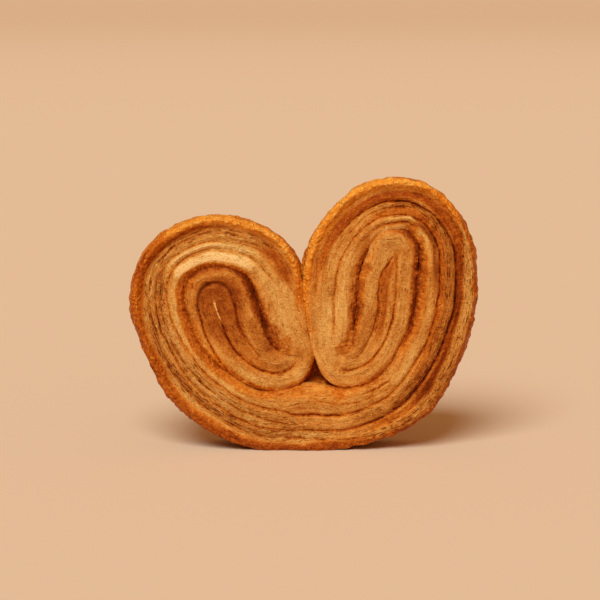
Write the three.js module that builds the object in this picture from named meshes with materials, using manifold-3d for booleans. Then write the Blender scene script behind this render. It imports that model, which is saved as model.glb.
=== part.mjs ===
// A palmier: one sheet of sugared puff pastry rolled in from both ends, sliced and baked.
// It stands on the flat spot of its round lower edge. +X runs to the right along the slice,
// -Y is the cut face that shows, and +Z is up. The origin is on the floor under its middle.
// All sizes are millimetres.
import * as THREE from "three";
import Module from "manifold-3d";
import { mergeVertices } from "three/addons/utils/BufferGeometryUtils.js";

// ---------------------------------------------------------------- driving dimensions
const SLICE_THICKNESS = 17; // between the tops of the layers on the front and on the back
const STATION_PITCH = 3.3; // from one section to the next along the rolled sheet
const TIP_STEPS = 9; // steps of the sections round each inner end of the sheet
const TIP_STRETCH = 0.08; // share by which a tip reaches further along the sheet than across it

// The middle of the sheet, from the inner end of the left roll, out and round the left lobe,
// along the base and into the right roll: x, z and half of the sheet's thickness at each station.
const SHEET_ROUTE = [
  [-24.0, 41.7, 10.0], // 0: inner end of the left roll
  [-21.6, 35.2, 9.9],
  [-17.2, 28.4, 8.1],
  [-12.6, 24.2, 6.8],
  [-7.5, 22.8, 5.9], // 4: bottom of the left roll
  [-3.6, 24.3, 5.4],
  [-2.1, 27.1, 4.7],
  [-4.9, 32.8, 5.5],
  [-7.3, 44.4, 6.6], // 8: left side of the cleft
  [-8.7, 49.6, 7.2],
  [-12.7, 54.7, 7.2],
  [-26.6, 58.0, 7.2], // 11: top of the left lobe
  [-38.3, 52.1, 6.6],
  [-40.6, 46.5, 6.7],
  [-39.3, 34.2, 7.3],
  [-31.1, 20.4, 7.5],
  [-17.5, 10.5, 7.8],
  [-9.3, 8.7, 8.4],
  [-0.9, 9.6, 9.8], // 18: base, under the hole
  [10.9, 9.5, 8.6],
  [23.9, 13.5, 8.4],
  [29.4, 18.3, 8.8],
  [36.5, 32.5, 8.4],
  [39.0, 45.9, 8.5], // 23: right side
  [38.1, 58.7, 7.5],
  [34.4, 64.6, 7.2],
  [29.4, 68.1, 6.9],
  [23.6, 68.4, 7.2], // 27: top of the right lobe
  [16.7, 65.8, 7.3],
  [8.5, 55.6, 7.4],
  [6.5, 45.2, 7.6], // 30: right side of the cleft
  [6.5, 33.1, 6.2],
  [5.9, 28.7, 4.6],
  [8.6, 24.3, 5.4],
  [11.2, 23.4, 5.9], // 34: bottom of the right roll
  [16.7, 26.1, 6.1],
  [20.8, 34.8, 7.5],
  [22.6, 46.9, 8.3],
  [23.9, 54.7, 6.9], // 38: inner end of the right roll
];
const LAST_STATION = SHEET_ROUTE.length - 1;
// The sheet is made in lengths between these stations, so that no length touches itself.
const LENGTH_ENDS = [0, 4, 11, 18, 27, 34, LAST_STATION];

// Seams between the baked layers on a cut face. "Across" runs over the sheet's thickness, from
// -1 at its inner surface to 1 at its outer one. Rows are station, across and depth.
const MIDDLE_SEAM = [
  [0, -0.45, 0.9],
  [4, -0.35, 0.6],
  [8, 0.0, 0.5],
  [11, -0.3, 0.8],
  [14, -0.31, 1.0],
  [18, -0.09, 1.5],
  [23, -0.26, 1.1],
  [27, -0.43, 1.1],
  [30, -0.15, 0.7],
  [34, 0.03, 0.9],
  [38, 0.27, 0.8],
];
const OUTER_SEAM = [
  [0, 0.0, 1.3],
  [4, 0.12, 1.2],
  [8, 0.42, 0.6],
  [11, 0.02, 0.7],
  [14, 0.05, 0.7],
  [18, 0.38, 0.7],
  [20, 0.2, 1.6],
  [23, 0.26, 2.8],
  [27, 0.08, 2.2],
  [30, 0.27, 0.7],
  [34, 0.45, 0.3],
  [38, 0.6, 0.3],
];
const SEAM_HALF_WIDTH = 0.11; // across
const SEAM_UNEVENNESS = 0.35; // share by which a seam's depth comes and goes along it
const SEAM_PACE = 6.1; // how fast it does, in radians a station

// The hollow behind the raised outer crust: rows of station and depth.
const CRUST_HOLLOW = [
  [6, 0],
  [9, 1.5],
  [12, 1.6],
  [15, 1.1],
  [18, 0.6],
  [22, 0.7],
  [25, 1.5],
  [28, 1.7],
  [31, 0.6],
  [33, 0],
];
const HOLLOW_ACROSS = 0.6;
const HOLLOW_HALF_WIDTH = 0.3;

// The cut faces round off at the sheet's surfaces. Where two turns meet, that leaves a V between
// them, and outside it leaves the narrower edge of the crust: rows of station and radius.
const OUTER_EDGE = [
  [7, 2.4],
  [9, 1.3],
  [29, 1.3],
  [31, 2.4],
];
const INNER_EDGE = 2.4;
const EDGE_STEEPNESS = 1.15; // depth of a rounded edge for its width

const PLY_RISE = 0.7; // how far the puffed layer next to the inner surface stands up
const PLY_ACROSS = -0.6;
const PLY_HALF_WIDTH = 0.5;
const BACK_RELIEF = 0.6; // the back lay on the baking tray, so its relief is lower
// Unevenness of the cut faces and of the crust: height, then radians a station and across.
const FACE_WAVES = [
  [0.18, 2.3, 4.0],
  [0.12, 5.1, -3.0],
];
const CRUST_WAVES = [
  [0.22, 7.3, 2.1],
  [0.22, 3.7, -3.4],
];

// The sheet's surfaces bulge between the cut faces and fuse where turns meet: rows of station
// and bulge for the outer surface, and the inner surface's bulge all along.
const OUTER_BELLY = [
  [7, 0.7],
  [9, 0],
  [29, 0],
  [31, 0.7],
];
const INNER_BELLY = 0.7;
const BELLY_LEVEL = 0.34; // where that bulge starts, as a share of the slice's thickness
// Caramel that ran into the folds of the two rolls and set there: x, z and radius of each.
const FOLD_CARAMEL = [
  [-7.2, 28.7, 1.9],
  [11.4, 29.6, 2.3],
];
const CARAMEL_LENGTH = 11.5; // front to back
const FLOOR_TRIM = 0.5; // what lies lower than this is gone, which leaves the flat spot
const FINENESS = 1e-3; // points are rounded to this, so that neighbouring pieces share theirs

// Places across that every section has points at. The middle one is a tip's centre.
const TIP_PLACES = [0, 0.12, 0.26, 0.42, 0.58, 0.72, 0.84, 0.94, 1];
const TIP_BLEND = 1.5; // stations over which the places change to those that follow the seams
const INNER_EDGE_PLACES = [-1, -0.95, -0.83, -0.66];
const OUTER_EDGE_PLACES = [0.86, 0.91, 0.96, 1];

// ---------------------------------------------------------------- the sheet's route
const route = new THREE.CatmullRomCurve3(
  SHEET_ROUTE.map(([x, z, half]) => new THREE.Vector3(x, z, half)),
  false,
  "centripetal",
);

/** Middle point, half thickness and direction towards the outer surface at a station. */
function sheetAt(station) {
  const { x, y, z } = route.getPoint(station / LAST_STATION);
  const along = route.getTangent(station / LAST_STATION);
  return {
    middle: new THREE.Vector2(x, y),
    half: z,
    outward: new THREE.Vector2(along.y, -along.x).normalize(),
  };
}

/** Stations from one length end to the next, about STATION_PITCH apart. */
function stationsBetween(first, last) {
  const fine = 50;
  const stations = [];
  const travelled = [0];
  for (let i = 0; i <= (last - first) * fine; i++) {
    stations.push(first + i / fine);
    if (i > 0) {
      const step = sheetAt(stations[i]).middle.distanceTo(sheetAt(stations[i - 1]).middle);
      travelled.push(travelled[i - 1] + step);
    }
  }
  const total = travelled[travelled.length - 1];
  const steps = Math.round(total / STATION_PITCH);
  const chosen = [first];
  for (let i = 1; i < steps; i++) {
    chosen.push(stations[travelled.findIndex((length) => length >= (total * i) / steps)]);
  }
  return [...chosen, last];
}

/** Value in a column of rows that start with a station, read straight between the rows. */
function readRows(rows, station, column) {
  const next = rows.findIndex((row) => row[0] >= station);
  if (next === 0) return rows[0][column];
  if (next < 0) return rows[rows.length - 1][column];
  const [before, after] = [rows[next - 1], rows[next]];
  return THREE.MathUtils.mapLinear(station, before[0], after[0], before[column], after[column]);
}

// ---------------------------------------------------------------- relief of the cut faces
/** 1 in the middle of a groove or swelling, falling smoothly to 0 at its half width. */
function swell(distance, halfWidth) {
  const share = Math.min(Math.abs(distance) / halfWidth, 1);
  return 0.5 + 0.5 * Math.cos(Math.PI * share);
}

/** Sum of waves that run along the sheet and across it. */
function ripple(waves, station, across) {
  const heights = waves.map(([height, along, over]) => height * Math.sin(along * station + over * across));
  return heights.reduce((sum, height) => sum + height);
}

/** Depth of a seam at a place across. */
function seamDepth(rows, station, across) {
  const uneven = 1 + SEAM_UNEVENNESS * Math.sin(SEAM_PACE * station);
  return uneven * readRows(rows, station, 2) * swell(across - readRows(rows, station, 1), SEAM_HALF_WIDTH);
}

/** Depth of the rounded edge next to either surface of the sheet. */
function edgeDepth(station, across, half) {
  const radius = across < 0 ? INNER_EDGE : readRows(OUTER_EDGE, station, 1);
  const inward = 1 - Math.min(((1 - Math.abs(across)) * half) / radius, 1);
  return EDGE_STEEPNESS * radius * (1 - Math.sqrt(1 - inward * inward));
}

/** Height of a cut face over its nominal plane. */
function faceHeight(station, across, half) {
  const hollow = readRows(CRUST_HOLLOW, station, 1) * swell(across - HOLLOW_ACROSS, HOLLOW_HALF_WIDTH);
  const puffed = PLY_RISE * swell(across - PLY_ACROSS, PLY_HALF_WIDTH);
  const seams = seamDepth(MIDDLE_SEAM, station, across) + seamDepth(OUTER_SEAM, station, across);
  const uneven = ripple(FACE_WAVES, station, across);
  return puffed - hollow - seams - edgeDepth(station, across, half) + uneven;
}

// ---------------------------------------------------------------- sections of the sheet
/** Places across at a station, from the inner to the outer surface. */
function placesAcross(station) {
  const middle = readRows(MIDDLE_SEAM, station, 1);
  const outer = readRows(OUTER_SEAM, station, 1);
  const [w, crest] = [SEAM_HALF_WIDTH, OUTER_EDGE_PLACES[0]];
  const hollow = [0.25, 0.5, 0.75].map((share) => THREE.MathUtils.lerp(outer + w, crest, share));
  const seams = [middle - w, middle, middle + w, outer - w, outer, outer + w];
  const following = [...INNER_EDGE_PLACES, ...seams, ...hollow, ...OUTER_EDGE_PLACES];
  const even = [...TIP_PLACES.map((place) => -place).reverse(), ...TIP_PLACES.slice(1)];
  const share = Math.min(Math.min(station, LAST_STATION - station) / TIP_BLEND, 1);
  return even.map((place, i) => THREE.MathUtils.lerp(place, following[i], share));
}

/** Half a section as [across in mm, y], from the front's middle round one surface to the back's. */
function halfOutline(station, half, sign) {
  const centre = TIP_PLACES.length - 1;
  const all = placesAcross(station);
  const places = sign > 0 ? all.slice(centre) : all.slice(0, centre + 1).reverse();
  const plane = SLICE_THICKNESS / 2 - PLY_RISE;
  const front = places.map((a) => [a * half, -plane - faceHeight(station, a, half)]);
  const belly = sign > 0 ? readRows(OUTER_BELLY, station, 1) : INNER_BELLY;
  const side = [-1, 1].map((level) => [
    sign * (half + belly + ripple(CRUST_WAVES, station, level)),
    level * BELLY_LEVEL * SLICE_THICKNESS,
  ]);
  const back = places
    .filter((_, i) => i % 2 === 0)
    .map((a) => [a * half, plane + BACK_RELIEF * faceHeight(station, a, half)])
    .reverse();
  return [...front, ...side, ...back];
}

/** Whole section as [across in mm, y]. */
function wholeOutline(station, half) {
  const inner = halfOutline(station, half, -1).reverse();
  return [...halfOutline(station, half, 1), ...inner.slice(1, -1)];
}

// ---------------------------------------------------------------- solids from sections
const wasm = await Module();
wasm.setup();

/** A geometry as a manifold solid, with its shared vertices merged. */
function solidFrom(geometry) {
  const bare = new THREE.BufferGeometry();
  bare.setAttribute("position", geometry.attributes.position);
  bare.setIndex(geometry.index);
  const merged = mergeVertices(bare, FINENESS);
  const index = merged.index.array;
  const triVerts = [];
  for (let i = 0; i < index.length; i += 3) {
    const [a, b, c] = index.slice(i, i + 3);
    if (a !== b && b !== c && c !== a) triVerts.push(a, b, c);
  }
  const vertProperties = new Float32Array(merged.attributes.position.array);
  return new wasm.Manifold(
    new wasm.Mesh({ numProp: 3, vertProperties, triVerts: new Uint32Array(triVerts) }),
  );
}

/** Points of an outline set on its middle along its outward direction, rounded to FINENESS. */
function placed({ outline, middle, outward }) {
  return outline.map(([a, y]) => {
    const point = new THREE.Vector3(middle.x + outward.x * a, y, middle.y + outward.y * a);
    return point.divideScalar(FINENESS).round().multiplyScalar(FINENESS);
  });
}

/** Corners of the triangles that join each section to the next one. */
function skinCorners(sections) {
  const rings = sections.map(placed);
  return rings.slice(1).flatMap((ring, i) =>
    ring.flatMap((point, j) => {
      const next = (j + 1) % ring.length;
      const [a, b, c, d] = [rings[i][j], rings[i][next], ring[next], point];
      return [a, b, d, b, c, d];
    }),
  );
}

/** Corners of the triangles that close a section, facing along the sheet or back. */
function endCorners(section, forwards) {
  const contour = section.outline.map(([a, y]) => new THREE.Vector2(a, y));
  const points = placed(section);
  const triangles = THREE.ShapeUtils.triangulateShape(contour, []);
  return triangles.flatMap((t) => (forwards ? t : [...t].reverse()).map((i) => points[i]));
}

/** Half sections round an inner end, where the sheet's outer half turns into its inner half. */
function tipSections(station) {
  const { middle, half, outward } = sheetAt(station);
  const outer = halfOutline(station, half, 1);
  const inner = halfOutline(station, half, -1);
  const turn = station === 0 ? -1 : 1;
  const sections = [];
  for (let i = 0; i <= TIP_STEPS; i++) {
    const share = i / TIP_STEPS;
    const angle = Math.PI * share;
    const stretch = 1 + TIP_STRETCH * Math.sin(angle);
    const outline = outer.map(([a, y], j) => [
      stretch * THREE.MathUtils.lerp(a, -inner[j][0], share),
      THREE.MathUtils.lerp(y, inner[j][1], share),
    ]);
    const direction = outward.clone().rotateAround(new THREE.Vector2(), turn * angle);
    sections.push({ outline, middle, outward: direction });
  }
  return turn < 0 ? sections.reverse() : sections;
}

/** The sheet between two stations, with a round tip where it starts or ends. */
function sheetLength(first, last) {
  const sections = stationsBetween(first, last).map((station) => {
    const frame = sheetAt(station);
    return { ...frame, outline: wholeOutline(station, frame.half) };
  });
  const start = first === 0 ? skinCorners(tipSections(first)) : endCorners(sections[0], false);
  const end = last === LAST_STATION ? skinCorners(tipSections(last)) : endCorners(sections.at(-1), true);
  return solidFrom(new THREE.BufferGeometry().setFromPoints([...start, ...skinCorners(sections), ...end]));
}

/** A rounded plug of set caramel from front to back. */
function caramelPlug([x, z, radius]) {
  const [endSteps, sides] = [4, 12];
  const capsule = new THREE.CapsuleGeometry(radius, CARAMEL_LENGTH - 2 * radius, endSteps, sides);
  return solidFrom(capsule.translate(x, 0, z));
}

/** Everything above the floor, as a block larger than the pastry. */
function spaceAboveFloor() {
  const reach = 200;
  const block = new THREE.BoxGeometry(reach, reach, reach);
  block.translate(0, 0, reach / 2 + FLOOR_TRIM);
  return solidFrom(block);
}

/** A manifold solid as a three.js geometry. */
function geometryFrom(solid) {
  const { vertProperties, triVerts } = solid.getMesh();
  const geometry = new THREE.BufferGeometry();
  geometry.setAttribute("position", new THREE.BufferAttribute(vertProperties, 3));
  geometry.setIndex(new THREE.BufferAttribute(triVerts, 1));
  return geometry;
}

/** The pastry's geometry, standing on z = 0 with its box centred on the Z axis. */
function pastryGeometry() {
  const lengths = LENGTH_ENDS.slice(1).map((end, i) => sheetLength(LENGTH_ENDS[i], end));
  const plugs = FOLD_CARAMEL.map(caramelPlug);
  const joined = [...lengths, ...plugs].reduce((sum, piece) => sum.add(piece));
  const standing = geometryFrom(joined.intersect(spaceAboveFloor()));
  standing.computeBoundingBox();
  const centre = standing.boundingBox.getCenter(new THREE.Vector3());
  standing.translate(-centre.x, -centre.y, -FLOOR_TRIM);
  const shells = solidFrom(standing).decompose();
  const [whole] = shells.sort((a, b) => b.volume() - a.volume()); // the rest are loose scraps
  const pastry = geometryFrom(whole);
  pastry.computeVertexNormals();
  return pastry;
}

// ---------------------------------------------------------------- scene graph
const palmier = new THREE.Mesh(
  pastryGeometry(),
  new THREE.MeshStandardMaterial({ color: 0xd29a55, roughness: 0.7, metalness: 0 }),
);
palmier.name = "palmier";

const model = new THREE.Group();
model.name = "palmier_pastry";
model.add(palmier);

export default model;
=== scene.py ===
"""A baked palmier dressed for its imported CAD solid.

One sheet of sugared puff pastry is rolled in from both ends. The cut faces show the layers as
ridges, seams and flaky gaps, and the rolled outside is a blistered caramel crust.
Lengths are millimetres until a mesh is written, and metres after that.
"""

from __future__ import annotations

import itertools
import logging
import math
from dataclasses import dataclass, fields

import bmesh
import bpy
import numpy as np
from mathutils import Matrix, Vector, kdtree

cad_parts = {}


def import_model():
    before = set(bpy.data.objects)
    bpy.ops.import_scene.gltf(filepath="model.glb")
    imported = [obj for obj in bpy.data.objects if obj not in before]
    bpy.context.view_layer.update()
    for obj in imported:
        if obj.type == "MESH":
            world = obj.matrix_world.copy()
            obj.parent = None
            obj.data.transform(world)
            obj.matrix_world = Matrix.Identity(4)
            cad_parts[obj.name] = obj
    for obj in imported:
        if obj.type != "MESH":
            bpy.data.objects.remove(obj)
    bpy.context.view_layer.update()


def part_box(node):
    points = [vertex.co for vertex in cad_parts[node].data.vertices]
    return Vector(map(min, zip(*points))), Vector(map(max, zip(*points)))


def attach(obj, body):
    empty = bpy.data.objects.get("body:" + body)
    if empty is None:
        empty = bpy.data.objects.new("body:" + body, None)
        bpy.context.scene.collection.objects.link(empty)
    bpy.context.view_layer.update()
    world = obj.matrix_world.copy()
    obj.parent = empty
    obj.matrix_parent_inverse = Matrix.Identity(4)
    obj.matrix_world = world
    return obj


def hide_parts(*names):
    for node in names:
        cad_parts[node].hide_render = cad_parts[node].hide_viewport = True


log = logging.getLogger("palmier")

MM = 0.001
NODE = "palmier"
BODY = "root"
WELD = 2e-6  # points of a fused mesh that are closer than this, in metres, are one
FAR_EDGE = 4.0  # mm from the sheet's surface past which the finish takes no notice of it
FAR_SPLIT = 2.0  # mm from a seam past which the finish takes no notice of it

Rows = tuple[tuple[float, ...], ...]
Pair = tuple[float, float]
Numbers = np.ndarray | float


# ---------------------------------------------------------------- numbers and noise
def smooth(value: np.ndarray, low: float, high: float) -> np.ndarray:
    """Smooth step from 0 at low to 1 at high."""
    share = np.clip((value - low) / (high - low), 0.0, 1.0)
    return share * share * (3.0 - 2.0 * share)


def swell(distance: np.ndarray, half_width: float) -> np.ndarray:
    """1 in the middle, falling smoothly to 0 at the half width."""
    return 0.5 + 0.5 * np.cos(np.pi * np.clip(np.abs(distance) / half_width, 0.0, 1.0))


def read(rows: Rows, station: np.ndarray, column: int = 1) -> np.ndarray:
    """Values of a column of rows that start with a station, on a curve that never overshoots.

    Args:
        rows: Rows in rising order of station.
        station: Where to read.
        column: Which number of a row to read.

    Returns:
        The values, with the first and last row's held beyond them.
    """
    table = np.array(rows, float)
    place, value = table[:, 0], table[:, column]
    gap = np.diff(place)
    rise = np.diff(value) / gap
    before, after = rise[:-1], rise[1:]
    turning = before * after <= 0
    inner = np.where(turning, 0.0, 2 * before * after / np.where(turning, 1.0, before + after))
    slope = np.concatenate([[0.0], inner, [0.0]])
    where = np.clip(station, place[0], place[-1])
    i = np.clip(np.searchsorted(place, where, side="right") - 1, 0, len(gap) - 1)
    t = (where - place[i]) / gap[i]
    bend = t * (1 - t) * gap[i] * ((1 - t) * (slope[i] - rise[i]) - t * (slope[i + 1] - rise[i]))
    return value[i] + rise[i] * (where - place[i]) + bend


class Noise:
    """Smooth seeded noise from -1 to 1 on a lattice that repeats far apart."""

    SHAPE = (512, 64, 32)

    def __init__(self, seed: int) -> None:
        """Fill the lattice from a seed."""
        self.table = np.random.default_rng(seed).uniform(-1.0, 1.0, self.SHAPE)

    def __call__(self, x: np.ndarray, y: Numbers, z: Numbers = 0.0) -> np.ndarray:
        """Noise at lattice coordinates, one cell to the unit.

        Args:
            x: First coordinates.
            y: Second coordinates.
            z: Third coordinates.

        Returns:
            The noise, in the shape that the three have together.
        """
        x, y, z = np.broadcast_arrays(x, y, z)
        cells, weights = [], []
        for value, size in zip((x, y, z), self.SHAPE):
            low = np.floor(value)
            part = value - low
            fade = part * part * part * (part * (part * 6.0 - 15.0) + 10.0)
            cells.append((low.astype(int) % size, (low.astype(int) + 1) % size))
            weights.append((1.0 - fade, fade))
        total = np.zeros(x.shape)
        for i, j, k in itertools.product((0, 1), repeat=3):
            weight = weights[0][i] * weights[1][j] * weights[2][k]
            total += weight * self.table[cells[0][i], cells[1][j], cells[2][k]]
        return total


@dataclass(frozen=True)
class Ripple:
    """Uneven noise on a surface: its size both ways in mm, how much it adds, and its place in the noise."""

    length: float
    width: float
    rise: float = 1.0
    offset: float = 0.0

    def raw(self, noise: Noise, x: np.ndarray, y: Numbers, apart: Numbers = 0.0) -> np.ndarray:
        """The noise from -1 to 1 at coordinates in mm."""
        return noise(x / self.length, y / self.width, apart + self.offset)

    def on(self, noise: Noise, x: np.ndarray, y: Numbers, apart: Numbers = 0.0) -> np.ndarray:
        """The noise at coordinates in mm, times the rise."""
        return self.rise * self.raw(noise, x, y, apart)


# ---------------------------------------------------------------- the sheet's route
@dataclass(frozen=True)
class SheetRoute:
    """The middle of the rolled sheet, from the left roll's inner end to the right roll's.

    A knot is x, z and half of the sheet's thickness. A station counts knots along the sheet.
    """

    knots: Rows = (
        (-24, 41.7, 10), (-21.6, 35.2, 9.9), (-17.2, 28.4, 8.1), (-12.6, 24.2, 6.8), (-7.5, 22.8, 5.9),
        (-3.6, 24.3, 5.4), (-2.1, 27.1, 4.7), (-4.9, 32.8, 5.5), (-7.3, 44.4, 6.6), (-8.7, 49.6, 7.2),
        (-12.7, 54.7, 7.2), (-26.6, 58, 7.2), (-38.3, 52.1, 6.6), (-40.6, 46.5, 6.7), (-39.3, 34.2, 7.3),
        (-31.1, 20.4, 7.5), (-17.5, 10.5, 7.8), (-9.3, 8.7, 8.4), (-0.9, 9.6, 9.8), (10.9, 9.5, 8.6),
        (23.9, 13.5, 8.4), (29.4, 18.3, 8.8), (36.5, 32.5, 8.4), (39, 45.9, 8.5), (38.1, 58.7, 7.5),
        (34.4, 64.6, 7.2), (29.4, 68.1, 6.9), (23.6, 68.4, 7.2), (16.7, 65.8, 7.3), (8.5, 55.6, 7.4),
        (6.5, 45.2, 7.6), (6.5, 33.1, 6.2), (5.9, 28.7, 4.6), (8.6, 24.3, 5.4), (11.2, 23.4, 5.9),
        (16.7, 26.1, 6.1), (20.8, 34.8, 7.5), (22.6, 46.9, 8.3), (23.9, 54.7, 6.9),
    )
    rim: Rows = (
        (4.8, 0), (5.6, -0.4), (6.4, -0.2), (7, 0), (9, -0.3), (10.2, -0.25), (11, 0), (11.4, 0.15),
        (11.75, 0.25), (12.05, 0.05), (12.4, 0.05), (12.8, 0.7), (13.1, 0.85), (13.5, 0.8), (13.9, 0.3),
        (14.3, 0.25), (14.8, 1.2), (15.2, 1.5), (15.6, 1.3), (16.5, 0.65), (17.6, 0.1), (18.4, 0),
        (21.8, -0.3), (22.6, -0.05), (23.2, -0.6), (23.6, -0.5), (24.7, -0.7), (25.6, -0.35),
        (26.5, -0.35), (27.4, 0), (28.5, 0.3), (29, 0.28), (30, 0), (31.2, 0), (32.2, -0.45), (33, -0.35),
        (33.8, -0.25), (34.4, 0),
    )  # station and mm by which the outer surface stands past the even sheet
    length_ends: tuple[float, ...] = (0, 4, 11, 18, 27, 34, 38)
    measured_steps: int = 40  # steps to a station where the sheet is measured
    spread_steps: int = 80  # steps to a station where stations are spread out

    @property
    def last(self) -> int:
        """The last station."""
        return len(self.knots) - 1

    def point(self, station: np.ndarray) -> tuple[np.ndarray, np.ndarray]:
        """Points (x, z, half) and their direction on a centripetal spline.

        Args:
            station: Stations, as a flat array.

        Returns:
            Points and unscaled directions, one row a station.
        """
        knots = np.array(self.knots, float)
        first = np.clip(np.floor(station).astype(int), 0, self.last - 1)
        share = (station - first)[:, None]
        padded = np.vstack([2 * knots[0] - knots[1], knots, 2 * knots[-1] - knots[-2]])
        before, start, end, after = (padded[first + i] for i in range(4))

        def gap(a: np.ndarray, b: np.ndarray) -> np.ndarray:
            """Root of the distance between rows of points."""
            return np.power(((a - b) ** 2).sum(axis=1), 0.25)[:, None]

        g0, g1, g2 = gap(before, start), gap(start, end), gap(end, after)
        leave = ((start - before) / g0 - (end - before) / (g0 + g1) + (end - start) / g1) * g1
        arrive = ((end - start) / g1 - (after - start) / (g1 + g2) + (after - end) / g2) * g1
        square = -3 * start + 3 * end - 2 * leave - arrive
        cube = 2 * start - 2 * end + leave + arrive
        place = start + leave * share + square * share**2 + cube * share**3
        return place, leave + 2 * square * share + 3 * cube * share**2

    def frames(self, station: np.ndarray) -> tuple[np.ndarray, np.ndarray, np.ndarray]:
        """How the sheet lies at stations.

        Args:
            station: Stations, as a flat array.

        Returns:
            Middle points, half thicknesses and outward directions.
        """
        place, along = self.point(station)
        along = along[:, :2] / np.linalg.norm(along[:, :2], axis=1, keepdims=True)
        return place[:, :2], place[:, 2], np.stack([along[:, 1], -along[:, 0]], axis=1)

    def travelled(self, station: np.ndarray) -> np.ndarray:
        """Millimetres along the sheet's middle from station 0.

        Args:
            station: Stations to measure to.

        Returns:
            The lengths.
        """
        fine = np.linspace(0, self.last, self.measured_steps * self.last + 1)
        middle = self.point(fine)[0][:, :2]
        steps = np.linalg.norm(np.diff(middle, axis=0), axis=1)
        return np.interp(station, fine, np.concatenate([[0.0], np.cumsum(steps)]))

    def stations(self, first: float, last: float, pitch: float) -> np.ndarray:
        """Stations about a pitch apart, halfway between the middle's pace and the outside's.

        Args:
            first: The first station.
            last: The last station.
            pitch: Distance between stations, in mm.

        Returns:
            The stations, both ends among them.
        """
        fine = np.linspace(first, last, int(self.spread_steps * (last - first)) + 1)
        middle, half, outward = self.frames(fine)
        outside = middle + outward * half[:, None]
        steps = sum(np.linalg.norm(np.diff(line, axis=0), axis=1) for line in (middle, outside)) / 2
        reach = np.concatenate([[0.0], np.cumsum(steps)])
        count = max(2, round(reach[-1] / pitch)) + 1
        return np.interp(np.linspace(0, reach[-1], count), reach, fine)


# ---------------------------------------------------------------- features of the layers
@dataclass(frozen=True)
class Line:
    """A seam, or a ridge where its depth is below 0, that runs along the sheet.

    Rows are station, place across (-1 inner to 1 outer), depth in mm and browning added.
    """

    rows: Rows
    half_width: float = 0.5
    broken: float = 0.3


@dataclass(frozen=True)
class Band:
    """A strip along the sheet with its own browning and glaze.

    Rows are station, place across, half width across, and browning; glaze is from 0 to 1.
    """

    rows: Rows
    glaze: float = 0.2
    soft: float = 0.08
    flake: float | None = None


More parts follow.
